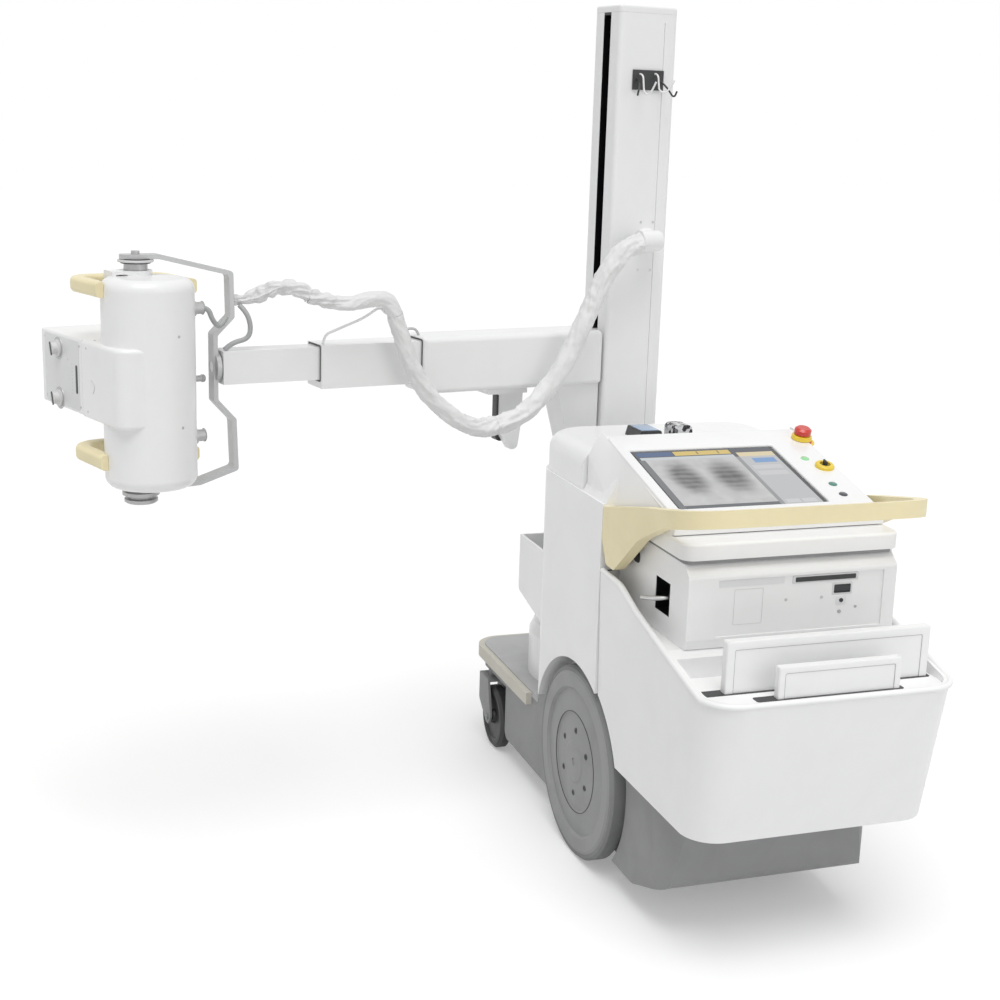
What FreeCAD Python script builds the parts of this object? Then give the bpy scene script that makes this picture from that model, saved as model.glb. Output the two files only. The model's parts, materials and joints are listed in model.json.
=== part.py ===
"""Mobile x-ray machine: a motor driven base with a column, a telescopic arm and a tube head.

Millimetres. +X is the machine's right, +Y is forward, away from the operator's handle, and +Z
is up. The origin is on the floor, midway between the two drive wheels, under their axis.
"""
import FreeCAD
import Part
import Sketcher
import math
import os

V = FreeCAD.Vector
Turn = FreeCAD.Rotation
X_AXIS, Y_AXIS, Z_AXIS = V(1, 0, 0), V(0, 1, 0), V(0, 0, 1)

doc = FreeCAD.newDocument("MobileXray")
sheet = doc.addObject("Spreadsheet::Sheet", "Sizes")

# The sizes: a name, its value in millimetres or degrees, and what it is
SIZES = [
    ("machine_width", 555, "over the rear bin"),
    ("skin_gap", 4, "running gap between covers"),
    ("seat_gap", 0.3, "gap between a piece and its seat"),
    ("fit_gap", 0.05, "radial clearance of a shaft in its bore"),
    ("run_gap", 6, "gap beside a moving piece"),
    # drive wheels
    ("wheel_radius", 225, "outside of the tyre"),
    ("wheel_width", 48, "across the tyre"),
    ("tyre_depth", 14, "tyre from tread to rim"),
    ("wheel_face", 271, "outer face of a drive wheel from the middle"),
    ("arch_gap", 20, "wheel arch over the tyre"),
    ("axle_radius", 16, "drive shaft"),
    ("hub_radius", 118, "raised hub ring of the wheel disc"),
    # front casters
    ("caster_radius", 85, "caster wheel"),
    ("caster_width", 34, "caster wheel"),
    ("caster_inset", 11, "caster wheel middle inside the base's side"),
    ("caster_pivot_y", 700, "swivel axis"),
    ("caster_trail", 42, "wheel axle behind the swivel axis"),
    ("caster_axle", 8, "axle radius"),
    ("fork_plate", 6, "fork leg thickness"),
    ("caster_stem", 14, "swivel stem radius"),
    # chassis
    ("base_floor", 62, "lowest face of the base over the floor"),
    ("base_half", 243, "half width of the grey base"),
    ("base_top", 306, "top of the grey base"),
    ("base_tail", -446, "rear face of the base at its foot"),
    ("base_tail_low", 118, "height of that foot"),
    ("base_rear_high", -470, "rear of the base under the bin"),
    ("deck_front", 800, "front of the platform"),
    ("deck_top", 262, "top of the front platform"),
    ("deck_plate", 14, "platform plate thickness"),
    ("bumper_depth", 34, "height of the bumper strip"),
    ("bumper_out", 16, "bumper strip thickness"),
    # white body
    ("body_front", 318, "front face of the body cover"),
    ("body_rear", -122, "seam between body cover and rear bin"),
    ("body_corner", 105, "front corner radius"),
    ("body_top", 868, "seam under the shoulder cap"),
    ("cap_top", 957, "top of the shoulder cap"),
    ("cap_inset", 6, "cap inside the body cover"),
    ("flank_low", 770, "where the console flank starts"),
    ("store_left", -262, "storage box"),
    ("store_right", -136, "storage box"),
    ("store_front", 440, "storage box"),
    ("store_low", 462, "storage box at the body"),
    ("store_top", 655, "storage box"),
    ("store_wall", 6, "storage box wall"),
    # column
    ("mast_y", 469, "column axis in front of the drive wheels"),
    ("mast_top", 1930, "top of the column cap"),
    ("mast_along", 165, "column section along the arm"),
    ("mast_across", 112, "column section across the arm"),
    ("mast_cap", 16, "cap thickness"),
    ("slot_width", 30, "slot that the carriage runs in"),
    ("slot_depth", 40, "depth of that slot"),
    ("foot_radius", 205, "column foot cover"),
    ("foot_top", 415, "top of the column foot cover"),
    ("turret_radius", 118, "turning plate under the column"),
    ("turret_height", 30, "turning plate"),
    ("arm_turn", 10.1, "arm turned back from square, degrees"),
    # arm
    ("arm_axis", 1118, "height of the arm's middle line"),
    ("outer_end", 576, "end of the outer section from the column axis"),
    ("outer_tall", 132, "outer section height"),
    ("outer_deep", 112, "outer section across"),
    ("outer_mid", 1103, "height of the outer section's middle"),
    ("middle_end", 823, "end of the middle section"),
    ("middle_tall", 98, "middle section height"),
    ("middle_deep", 86, "middle section across"),
    ("yoke_reach", 167, "back of the yoke from the tube head pivot"),
    ("hub_thick", 8, "flange between the arm's end and the yoke"),
    ("inner_tall", 73, "inner section height"),
    ("inner_deep", 62, "inner section across"),
    ("slide_gap", 0.4, "gap between sliding sections"),
    ("tube_wall", 8, "wall of the arm sections"),
    # yoke and tube head
    ("pivot_reach", 1228, "tube head pivot from the column axis"),
    ("head_turn", 19, "beam turned from straight ahead, degrees"),
    ("head_mid", 1100, "height of the tube's middle"),
    ("tube_back", 55, "tube axis behind the pivot axis"),
    ("tube_radius", 97, "tube housing radius"),
    ("tube_half", 222, "half length of the tube housing"),
    ("port_half", 103, "half width of the port housing"),
    ("port_tall", 168, "height of the port housing"),
    ("port_back", -128, "rear face of the port housing"),
    ("port_front", 55, "front face of the port housing"),
    ("neck_radius", 72, "turning neck of the collimator"),
    ("collimator_front", 285, "exit face of the collimator"),
    ("pin_radius", 9, "pivot pins of the tube head"),
    ("yoke_wide", 36, "yoke bar width"),
    ("yoke_thick", 10, "yoke bar thickness"),
    # rear
    ("bin_rear", -710, "rear face of the bin"),
    ("bin_floor", 330, "bottom of the bin"),
    ("bin_wall", 12, "bin wall"),
    ("rim_front", 724, "rim height at the seam"),
    ("rim_rear", 610, "rim height at the rear"),
    ("console_half", 236, "half width of the console"),
    ("console_top", 990, "rear edge of the console top, by the column"),
    ("console_front", -400, "operator's edge of the console"),
    ("console_back", -4, "where the sloped top starts"),
    ("console_low", 893, "height of that edge"),
    ("screen_wide", 338, "screen"),
    ("screen_deep", 270, "screen"),
    ("screen_shift", -37, "screen left of the middle"),
    ("lid_half", 243, "half width of the lid"),
    ("lid_rear", -464, "operator's edge of the lid"),
    ("lid_front", -300, "edge of the lid under the console"),
    ("lid_top", 866, "top of the lid at its rear edge"),
    ("lid_thick", 34, "lid"),
    ("unit_half", 234, "half width of the drawer unit"),
    ("unit_rear", -472, "rear face of the drawer unit"),
    ("unit_top", 822, "top of the drawer unit"),
    ("unit_floor", 650, "bottom of the drawer unit"),
    ("handle_thick", 26, "handle bar, across"),
]
for row, (name, value, note) in enumerate(SIZES, start=1):
    sheet.set("A%d" % row, name)
    sheet.set("B%d" % row, str(value))
    sheet.set("C%d" % row, note)
    sheet.setAlias("B%d" % row, name)
doc.recompute()


class Size(float):
    """A number that also remembers the sheet formula it came from."""

    def __new__(cls, value, formula=None):
        number = float.__new__(cls, value)
        number.formula = formula if formula else "(%r)" % float(value)
        return number

    def __add__(self, other):
        return joined(self, "+", other, float(self) + float(other))

    def __radd__(self, other):
        return joined(other, "+", self, float(other) + float(self))

    def __sub__(self, other):
        return joined(self, "-", other, float(self) - float(other))

    def __rsub__(self, other):
        return joined(other, "-", self, float(other) - float(self))

    def __mul__(self, other):
        return joined(self, "*", other, float(self) * float(other))

    def __rmul__(self, other):
        return joined(other, "*", self, float(other) * float(self))

    def __truediv__(self, other):
        return joined(self, "/", other, float(self) / float(other))

    def __neg__(self):
        return joined(Size(0), "-", self, -float(self))


def formula_of(value):
    return value.formula if isinstance(value, Size) else "(%r)" % float(value)


def joined(left, sign, right, value):
    return Size(value, "(%s %s %s)" % (formula_of(left), sign, formula_of(right)))


class Named:
    """Each size of the sheet as an attribute."""


d = Named()
for name, value, note in SIZES:
    setattr(d, name, Size(sheet.get(name), "Sizes." + name))

class Frame:
    """A place and a turn about Z in which arm or head pieces are drawn."""

    def __init__(self, x, y, turn):
        self.x, self.y, self.turn = x, y, turn
        angle = math.radians(turn)
        self.cos = Size(math.cos(angle), "cos(%s * 1 deg)" % formula_of(turn))
        self.sin = Size(math.sin(angle), "sin(%s * 1 deg)" % formula_of(turn))

    def world(self, x, y):
        return self.x + x * self.cos - y * self.sin, self.y + x * self.sin + y * self.cos

    def local(self, point):
        x, y = point.x - self.x, point.y - self.y
        return V(x * self.cos + y * self.sin, y * self.cos - x * self.sin, point.z)


FLOOR = Frame(Size(0), Size(0), Size(0))
MAST = Frame(Size(0), d.mast_y, d.arm_turn)
pivot_x, pivot_y = MAST.world(-d.pivot_reach, Size(0))
HEAD = Frame(pivot_x, pivot_y, d.head_turn)
now = [FLOOR]
PARTS = []


def bind(thing, prop, value):
    thing.setExpression(prop, formula_of(value))


def place(thing, x, y, z, turn=None, frame=None):
    """Puts a thing at a place in a frame, the one now in use if none is named."""
    frame = frame if frame else now[0]
    x, y = frame.world(x, y)
    turn = Turn(Z_AXIS, float(frame.turn)).multiply(turn if turn else Turn())
    thing.Placement = FreeCAD.Placement(V(x, y, z), turn)
    for axis, value in zip("xyz", (x, y, z)):
        bind(thing, "Placement.Base." + axis, value)
    return thing


def box(name, x0, x1, y0, y1, z0, z1):
    solid = doc.addObject("Part::Box", name)
    for prop, low, high in (("Length", x0, x1), ("Width", y0, y1), ("Height", z0, z1)):
        bind(solid, prop, Size(0) + high - low)
    return place(solid, x0, y0, z0)


AXIS_TURN = {"z": Turn(), "y": Turn(X_AXIS, -90), "x": Turn(Y_AXIS, 90),
             "-y": Turn(X_AXIS, 90), "-x": Turn(Y_AXIS, -90)}


def cylinder(name, radius, length, x, y, z, axis="z"):
    """A round bar whose low end is at the given place."""
    solid = doc.addObject("Part::Cylinder", name)
    bind(solid, "Radius", radius)
    bind(solid, "Height", length)
    return place(solid, x, y, z, AXIS_TURN[axis])


# How a sketch plane lies: its turn, and its two sketch axes in the part's frame
PLANES = {"xy": Turn(), "xz": Turn(X_AXIS, 90), "yz": Turn(V(1, 1, 1), 120)}


def outline(name, plane, points, frame=None):
    """A closed sketch whose corners are each tied to the sheet."""
    sketch = doc.addObject("Sketcher::SketchObject", name)
    place(sketch, Size(0), Size(0), Size(0), PLANES[plane], frame)
    count = len(points)
    for i in range(count):
        u0, v0 = points[i][:2]
        u1, v1 = points[(i + 1) % count][:2]
        sketch.addGeometry(Part.LineSegment(V(u0, v0, 0), V(u1, v1, 0)), False)
    for i in range(count):
        sketch.addConstraint(Sketcher.Constraint("Coincident", i, 2, (i + 1) % count, 1))
    for i, corner in enumerate(points):
        for kind, value in (("DistanceX", corner[0]), ("DistanceY", corner[1])):
            index = sketch.addConstraint(Sketcher.Constraint(kind, -1, 1, i, 1, float(value)))
            sketch.setExpression("Constraints[%d]" % index, formula_of(value))
    return sketch


def in_plane(plane, point):
    """The two sketch coordinates and the depth of a point."""
    point = now[0].local(point)
    return {"xy": (point.x, point.y, point.z), "xz": (point.x, point.z, point.y),
            "yz": (point.y, point.z, point.x)}[plane]


def prism(name, plane, points, start, end):
    """An outline pushed from start to end along the plane's normal.

    A corner may carry a third value, its radius.
    """
    sketch = outline(name + "Sketch", plane, points)
    solid = doc.addObject("Part::Extrusion", name)
    solid.Base = sketch
    solid.DirMode = "Custom"
    solid.Dir = sketch.Placement.Rotation.multVec(Z_AXIS)
    bind(solid, "LengthFwd", Size(0) + end)
    bind(solid, "LengthRev", Size(0) - start)
    solid.Solid = True
    doc.recompute()
    rounded = [corner for corner in points if len(corner) > 2]
    if not rounded:
        return solid
    rows = []
    for number, edge in enumerate(solid.Shape.Edges, start=1):
        u0, v0, w0 = in_plane(plane, edge.Vertexes[0].Point)
        u1, v1, w1 = in_plane(plane, edge.Vertexes[-1].Point)
        if math.hypot(u1 - u0, v1 - v0) > 0.01:
            continue
        for u, v, radius in rounded:
            if math.hypot(u0 - u, v0 - v) < 0.01:
                rows.append((number, float(radius), float(radius)))
    fillet = doc.addObject("Part::Fillet", name + "Round")
    fillet.Base = solid
    fillet.Edges = rows
    doc.recompute()
    return fillet


def soften(name, base, radius, pick):
    """Rounds the edges that pick chooses by their middle point and their ends."""
    doc.recompute()
    rows = []
    for number, edge in enumerate(base.Shape.Edges, start=1):
        middle = edge.valueAt((edge.FirstParameter + edge.LastParameter) / 2)
        if pick(now[0].local(middle), edge):
            rows.append((number, float(radius), float(radius)))
    fillet = doc.addObject("Part::Fillet", name)
    fillet.Base = base
    fillet.Edges = rows
    doc.recompute()
    return fillet


def join(name, *pieces):
    solid = doc.addObject("Part::MultiFuse", name)
    solid.Shapes = list(pieces)
    solid.Refine = True
    return solid


def cut(name, base, *tools):
    tool = tools[0]
    if len(tools) > 1:
        tool = doc.addObject("Part::MultiFuse", name + "Tools")
        tool.Shapes = list(tools)
    solid = doc.addObject("Part::Cut", name)
    solid.Base = base
    solid.Tool = tool
    solid.Refine = True
    return solid


def revolved(name, profile, x, y, z, axis="z"):
    """A profile of (radius, height) corners turned round an axis through a place."""
    sketch = outline(name + "Sketch", "xz", profile, FLOOR)
    solid = doc.addObject("Part::Revolution", name)
    solid.Source = sketch
    solid.Axis = Z_AXIS
    solid.Base = V()
    solid.Angle = 360
    solid.Solid = True
    return place(solid, x, y, z, AXIS_TURN[axis])


def common(name, *pieces):
    solid = doc.addObject("Part::MultiCommon", name)
    solid.Shapes = list(pieces)
    return solid


def group(name, *pieces):
    """Like pieces that don't touch, as one sub-part."""
    solid = doc.addObject("Part::Compound", name)
    solid.Links = list(pieces)
    return solid


def part(label, solid):
    """Names a finished sub-part; its file takes the label."""
    solid.Label = label
    PARTS.append(solid)
    return solid


half = d.machine_width / 2


def slab(name, points, y0, y1):
    """An xz outline pushed from y0 to y1."""
    return prism(name, "xz", points, -y1, -y0)


def side(name, points, x0, x1):
    """A yz outline pushed from x0 to x1."""
    return prism(name, "yz", points, x0, x1)


def plan(name, points, z0, z1):
    """An xy outline pushed from z0 to z1."""
    return prism(name, "xy", points, z0, z1)


def both(make):
    """Makes the left piece, then the right one."""
    for name, sign in (("left", -1), ("right", 1)):
        make(name, sign)


def flat_edges(z, reach=0.01):
    """Picks the edges that lie whole at one height."""
    return lambda middle, edge: (abs(middle.z - z) < reach
                                 and all(abs(v.Point.z - z) < reach for v in edge.Vertexes))


# Drive wheels, their shaft and the tyres
def drive_wheel(name, sign):
    bore = d.axle_radius + d.fit_gap
    rim = d.wheel_radius - d.tyre_depth
    face = d.wheel_face * sign
    low = (d.wheel_face - d.wheel_width) * sign
    step = Size(sign)
    profile = [(bore, low), (62, low), (70, low + step * 22), (186, low + step * 22),
               (194, low + step * 3), (rim, low + step * 3), (rim, face - step * 3),
               (rim - 6, face), (176, face), (170, face - step * 7),
               (d.hub_radius, face - step * 3), (d.hub_radius - 5, face - step * 6),
               (52, face - step * 2), (46, face), (10, face), (8, face - step * 3), (0, face - step * 3),
               (0, face - step * 14), (bore, face - step * 14)]
    profile = [(Size(0) + r, h) for r, h in profile]
    disc = revolved("Disc_" + name, profile, Size(0), Size(0), d.wheel_radius, "x")
    holes = []
    for i in range(6):
        angle = math.radians(30 + 60 * i)
        holes.append(cylinder("DiscHole_%s%d" % (name, i), Size(5), Size(30),
                              (d.wheel_face - 15) * sign - 15, Size(76 * math.cos(angle)),
                              d.wheel_radius + 76 * math.sin(angle), "x"))
    part("drive_wheel_" + name, cut("DiscCut_" + name, disc, *holes))
    edge = d.wheel_width / 2
    middle = (d.wheel_face - edge) * sign
    tread = d.wheel_radius
    tyre = [(rim, middle - edge + 3), (tread - 5, middle - edge + 3), (tread, middle - edge + 9),
            (tread, middle + edge - 9), (tread - 5, middle + edge - 3), (rim, middle + edge - 3)]
    part("drive_tyre_" + name, revolved("Tyre_" + name, tyre, Size(0), Size(0), d.wheel_radius, "x"))


both(drive_wheel)
shaft_end = d.wheel_face - 14 - d.skin_gap
gearbox = box("Gearbox", Size(-150), Size(150), Size(-60), Size(60), d.wheel_radius - 60,
              d.wheel_radius + 60)
part("drive_axle", join("Axle", cylinder("Shaft", d.axle_radius, shaft_end * 2, -shaft_end, Size(0),
                                         d.wheel_radius, "x"), gearbox))


# Front casters
caster_x = d.base_half - d.caster_inset


def caster(name, sign):
    x = caster_x * sign
    axle_y = d.caster_pivot_y - d.caster_trail
    wide = d.caster_width / 2
    radius = d.caster_radius
    grip = radius - 17
    tyre = [(grip, -wide), (radius - 8, -wide), (radius, -wide + 7), (radius, wide - 7),
            (radius - 8, wide), (grip, wide)]
    tyre = [(Size(0) + r, x + h) for r, h in tyre]
    part("caster_tyre_" + name, revolved("CasterTyre_" + name, tyre, Size(0), axle_y, radius, "x"))
    bore = d.caster_axle + d.fit_gap
    hub = [(bore, -wide - 2), (18, -wide - 2), (20, -wide + 6), (grip - 8, -wide + 6),
           (grip - 4, -wide + 1),
           (grip, -wide + 1), (grip, wide - 1), (grip - 4, wide - 1), (grip - 8, wide - 6), (20, wide - 6),
           (18, wide + 2), (bore, wide + 2)]
    hub = [(Size(0) + r, x + h) for r, h in hub]
    part("caster_hub_" + name, revolved("CasterHub_" + name, hub, Size(0), axle_y, radius, "x"))
    inside = wide + d.run_gap
    top = radius * 2 + 12
    leg = [(axle_y - 22, radius + 6), (axle_y - 10, radius - 18, 9), (axle_y + 12, radius - 18, 9),
           (d.caster_pivot_y + 34, radius + 30, 14), (d.caster_pivot_y + 34, top),
           (d.caster_pivot_y - 40, top)]
    pieces = [side("ForkLeg%d_%s" % (i, name), leg, x + inside * s, x + (inside + d.fork_plate) * s)
              if s > 0 else
              side("ForkLeg%d_%s" % (i, name), leg, x - inside - d.fork_plate, x - inside)
              for i, s in enumerate((-1, 1))]
    crown = box("ForkCrown_" + name, x - inside - d.fork_plate, x + inside + d.fork_plate,
                d.caster_pivot_y - 40, d.caster_pivot_y + 34, top, top + 8)
    stem = cylinder("ForkStem_" + name, d.caster_stem, Size(36), x, d.caster_pivot_y, top + 8)
    axle = cylinder("ForkAxle_" + name, d.caster_axle, (inside + d.fork_plate) * 2 + 8,
                    x - inside - d.fork_plate - 4, axle_y, radius, "x")
    part("caster_fork_" + name, join("Fork_" + name, *pieces, crown, stem, axle))


both(caster)

# Grey base: a tub that holds the battery, open over the casters and at the drive wheels
deck_under = d.deck_top - d.deck_plate
sweep = d.caster_radius + d.caster_trail + d.run_gap + 2
cave = d.caster_pivot_y - sweep
hull = side("HullSide", [(Size(-296), d.base_floor, 60), (d.base_tail, d.base_tail_low, 34),
                         (d.base_rear_high, d.base_top),
                         (d.body_front, d.base_top), (d.body_front, deck_under),
                         (d.deck_front - 14, deck_under), (d.deck_front - 14, deck_under - 46, 20),
                         (cave, deck_under - 46), (cave, d.base_floor, 24)], -d.base_half, d.base_half)
beam = side("HullBeam", [(cave - 10, d.base_floor + 20), (d.caster_pivot_y, d.base_floor + 34, 20),
                         (d.deck_front - 30, deck_under - 50), (cave - 10, deck_under - 40)],
            Size(-76), Size(76))


def wheel_arches(name):
    """The two round pockets that the drive wheels turn in."""
    near = d.wheel_face - d.wheel_width - d.run_gap
    return [cylinder(name + end, d.wheel_radius + d.arch_gap, Size(90), start, Size(0), d.wheel_radius, "x")
            for end, start in (("left", -near - 90), ("right", near))]


tools = wheel_arches("ArchCut_")
for name, sign in (("left", -1), ("right", 1)):
    tools.append(cylinder("CasterCave_" + name, sweep, d.caster_radius * 2 + 26,
                          caster_x * sign, d.caster_pivot_y, Size(0)))
    tools.append(cylinder("StemHole_" + name, d.caster_stem + d.fit_gap, Size(40),
                          caster_x * sign, d.caster_pivot_y, d.caster_radius * 2 + 20))
    tools.append(cylinder("ShaftHole_" + name, d.axle_radius + d.seat_gap, Size(100),
                          Size(-230 if sign < 0 else 130), Size(0), d.wheel_radius, "x"))
tools.append(box("BatteryWell", Size(-185), Size(185), Size(-330), d.body_front - 30,
                 d.base_floor + 14, d.base_top + 10))
hull_plan = plan("HullPlan", [(-d.base_half, d.base_rear_high, 74), (-d.base_half, d.deck_front - 14, 52),
                              (d.base_half, d.deck_front - 14, 52), (d.base_half, d.base_rear_high, 74)],
                 Size(0), d.base_top + 10)
hull = common("HullRound", hull, hull_plan)
part("base", cut("Base", join("Hull", hull, beam), *tools))
part("battery_block", box("Battery", Size(-170), Size(170), Size(-300), Size(-80),
                          d.base_floor + 14 + d.seat_gap, d.base_top - 30))

# Front platform and its bumper strip
deck = plan("Deck", [(-d.base_half, d.body_front + d.skin_gap), (-d.base_half, d.deck_front, 60),
                     (d.base_half, d.deck_front, 60), (d.base_half, d.body_front + d.skin_gap)],
            deck_under + d.seat_gap, d.deck_top)
part("deck", deck)
outer = d.base_half + d.bumper_out
low = d.deck_top - d.bumper_depth
ring = plan("BumperOut", [(-outer, Size(365)), (-outer, d.deck_front + d.bumper_out, 72),
                          (outer, d.deck_front + d.bumper_out, 72), (outer, Size(365))], low,
                          d.deck_top - 3)
room = plan("BumperIn", [(-d.base_half - d.seat_gap, Size(360)),
                         (-d.base_half - d.seat_gap, d.deck_front, 60),
                         (d.base_half + d.seat_gap, d.deck_front, 60),
                         (d.base_half + d.seat_gap, Size(360))],
            low - 5, d.deck_top + 5)
part("bumper", cut("Bumper", ring, room))

# White body cover over the drive wheels
cover = plan("CoverPlan", [(-half, d.body_rear), (-half, d.body_front, d.body_corner),
                           (half, d.body_front, d.body_corner), (half, d.body_rear)],
             d.base_top + d.seat_gap, d.body_top)
part("body_cover", cut("BodyCover", cover, *wheel_arches("CoverArch_")))
inset = d.cap_inset
cap = plan("CapPlan", [(-half + inset, Size(16)),
                       (-half + inset, d.body_front - inset, d.body_corner - inset),
                       (half - inset, d.body_front - inset, d.body_corner - inset),
                       (half - inset, Size(16))],
           d.body_top + d.seat_gap, d.cap_top)
part("shoulder_cap", soften("ShoulderCap", cap, 38,
                            lambda m, e: abs(m.z - d.cap_top) < 0.01 and m.y > 20))

# Column foot, turning plate
foot = revolved("FootTurn", [(Size(0), d.deck_top + d.seat_gap), (d.foot_radius, d.deck_top + d.seat_gap),
                             (d.foot_radius, d.foot_top - 40), (d.foot_radius - 12, d.foot_top - 14),
                             (d.foot_radius - 40, d.foot_top), (Size(0), d.foot_top)],
                Size(0), d.mast_y, Size(0))
part("column_foot", cut("Foot", foot, box("FootCut", Size(-300), Size(300), Size(0),
                                           d.body_front + d.skin_gap, Size(0), Size(600))))
part("turret", cylinder("Turret", d.turret_radius, d.turret_height, Size(0), d.mast_y,
                        d.foot_top + d.seat_gap))

# Storage box on the body's front corner, left of the column
def body_plan(name, grow, low, high):
    """The body's plan with its round front corners, grown by a gap or a wall."""
    round_by = d.body_corner + grow
    wide = half + grow
    return plan(name, [(-wide, d.body_rear), (-wide, d.body_front + grow, round_by),
                       (wide, d.body_front + grow, round_by), (wide, d.body_rear)], low, high)


store_wall = d.store_wall
box_side = side("StoreSide", [(d.body_front - 110, d.store_low), (d.store_front, d.store_low + 50, 12),
                              (d.store_front, d.store_top), (d.body_front - 110, d.store_top)],
                d.store_left, d.store_right)
box_room = side("StoreRoom", [(d.body_front - 120, d.store_low + 20),
                              (d.store_front - store_wall, d.store_low + 62, 8),
                              (d.store_front - store_wall, d.store_top + 10),
                              (d.body_front - 120, d.store_top + 10)],
                d.store_left + store_wall, d.store_right - store_wall)
box_room = cut("StoreRoomRound", box_room, body_plan("StoreBack", store_wall + d.seat_gap, Size(300),
                                                     Size(800)))
part("storage_box", cut("StorageBox", box_side, body_plan("StoreSeat", d.seat_gap, Size(300), Size(800)),
                        box_room))

# Column with its slot, cap, cable port and hook
now[0] = MAST
along, across = d.mast_along / 2, d.mast_across / 2
mast_low = d.foot_top + d.turret_height + d.seat_gap * 2
mast = plan("MastPlan", [(-along, -across, 10), (along, -across, 16), (along, across, 16),
                         (-along, across, 10)],
            mast_low, d.mast_top - d.mast_cap)
slot = box("MastSlot", -along - 5, -along + d.slot_depth, -d.slot_width / 2, d.slot_width / 2,
           Size(640), d.mast_top - d.mast_cap - 6)
bore = cylinder("PortBore", Size(22), Size(30), Size(18), -across - 5, Size(1385), "y")
groove = box("MastGroove", Size(42), Size(44), -across - 5, -across + 2, mast_low + 30,
             d.mast_top - d.mast_cap - 20)
part("column", cut("Column", mast, slot, bore, groove))
cap = plan("MastCapPlan", [(-along, -across, 10), (along, -across, 16), (along, across, 16),
                           (-along, across, 10)],
           d.mast_top - d.mast_cap + d.seat_gap, d.mast_top)
part("column_cap", soften("ColumnCap", cap, 5, flat_edges(d.mast_top)))
port = revolved("PortTurn", [(Size(0), Size(0)), (Size(30), Size(0)), (Size(30), Size(6)),
                             (Size(25), Size(10)),
                             (Size(25), Size(34)), (Size(0), Size(34))], Size(18), -across, Size(1385),
                             "-y")
part("cable_port", port)
plate = box("HookPlate", Size(-42), Size(44), -across - 4, -across - d.seat_gap, d.mast_top - 191,
            d.mast_top - 145)


def arc_tube(name, points, radius, in_frame=True):
    """A round tube on straight runs joined by tangent arcs, each as large as its runs allow."""
    path, bends = [], []
    world = []
    for x, y, z in points:
        wx, wy = now[0].world(Size(x), Size(y)) if in_frame else (x, y)
        world.append(V(wx, wy, z))
    here = world[0]
    for i in range(1, len(world) - 1):
        back, ahead = world[i - 1] - world[i], world[i + 1] - world[i]
        run_in, run_out = back.Length, ahead.Length
        back.normalize()
        ahead.normalize()
        half_turn = (math.pi - back.getAngle(ahead)) / 2
        reach = 0.45 * min(run_in, run_out)
        start, end = world[i] + back * reach, world[i] + ahead * reach
        bend = reach / math.tan(half_turn)
        to_centre = back + ahead
        to_centre.normalize()
        centre = world[i] + to_centre * math.hypot(bend, reach)
        to_centre = world[i] - centre
        to_centre.normalize()
        top = centre + to_centre * bend
        path.append(Part.LineSegment(here, start).toShape())
        arc = Part.Arc(start, top, end).toShape()
        path.append(arc)
        bends.append(bend)
        here = end
    path.append(Part.LineSegment(here, world[-1]).toShape())
    total = sum(edge.Length for edge in path)
    wire = Part.Wire(path)
    ring = Part.Wire(Part.makeCircle(radius, world[0], world[1] - world[0]))
    shape = wire.makePipeShell([ring], True, False)
    print("%s: length %.0f, radii %s, volume over section times length %.4f" % (
        name, total, " ".join("%.0f" % b for b in bends),
        shape.Volume / (math.pi * float(radius) ** 2 * total)))
    solid = doc.addObject("Part::Feature", name)
    solid.Shape = shape
    return solid


wire_z = d.mast_top - 166
hooks = [arc_tube("HookWire%d" % index, [(x, -58.4, wire_z), (x + lean * 0.3, -82, wire_z - 14),
                                         (x + lean, -96, wire_z - 42),
                                         (x + lean * 1.1, -104, wire_z - 26)], 2.2)
         for index, (x, lean) in enumerate(((-30, -22), (30, 22)), start=1)]
part("cable_hooks", join("CableHooks", plate, *hooks))

# Carriage with its web, and the telescopic arm
root = along + d.run_gap - 0.5
mid = d.outer_mid
tall, deep = d.outer_tall / 2, d.outer_deep / 2
web = slab("CarriageWeb", [(Size(-208), mid - tall - d.seat_gap), (Size(-165), Size(885), 10),
                           (-root, Size(885)),
                           (-root, mid - tall - d.seat_gap)], Size(-38), Size(38))
tongue = box("CarriageTongue", -root, -along + d.slot_depth - d.run_gap, -d.slot_width / 2 + d.seat_gap,
             d.slot_width / 2 - d.seat_gap, Size(900), mid - tall - d.seat_gap)
part("carriage", join("Carriage", web, tongue))
section = slab("OuterSection", [(-d.outer_end, mid - tall, 12), (-d.outer_end, mid + tall, 4),
                                (-root, mid + tall, 14), (-root, mid - tall, 10)], -deep, deep)
outer_arm = soften("OuterSoft", section, 12,
                   lambda m, e: abs(abs(m.y) - deep) < 0.01 and (abs(m.z - mid - tall) < 0.01 or
                                                               abs(m.z - mid + tall) < 0.01))
middle_z = Size(1111)
room = box("OuterRoom", -d.outer_end - 5, Size(-104), -d.middle_deep / 2 - d.slide_gap,
           d.middle_deep / 2 + d.slide_gap, middle_z - d.middle_tall / 2 - d.slide_gap,
           middle_z + d.middle_tall / 2 + d.slide_gap)
key = box("OuterTongue", -root - 1, -along + d.slot_depth - d.run_gap, -d.slot_width / 2 + d.seat_gap,
          d.slot_width / 2 - d.seat_gap, mid - tall + 2, mid + tall - 4)
part("arm_outer", join("ArmOuter", cut("OuterHollow", outer_arm, room), key))
middle_arm = box("MiddleSolid", -d.middle_end, Size(-345), -d.middle_deep / 2, d.middle_deep / 2,
                 middle_z - d.middle_tall / 2, middle_z + d.middle_tall / 2)
room = box("MiddleRoom", -d.middle_end - 5, Size(-352), -d.inner_deep / 2 - d.slide_gap,
           d.inner_deep / 2 + d.slide_gap, d.arm_axis - d.inner_tall / 2 - d.slide_gap,
           d.arm_axis + d.inner_tall / 2 + d.slide_gap)
part("arm_middle", cut("ArmMiddle", middle_arm, room))
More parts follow.
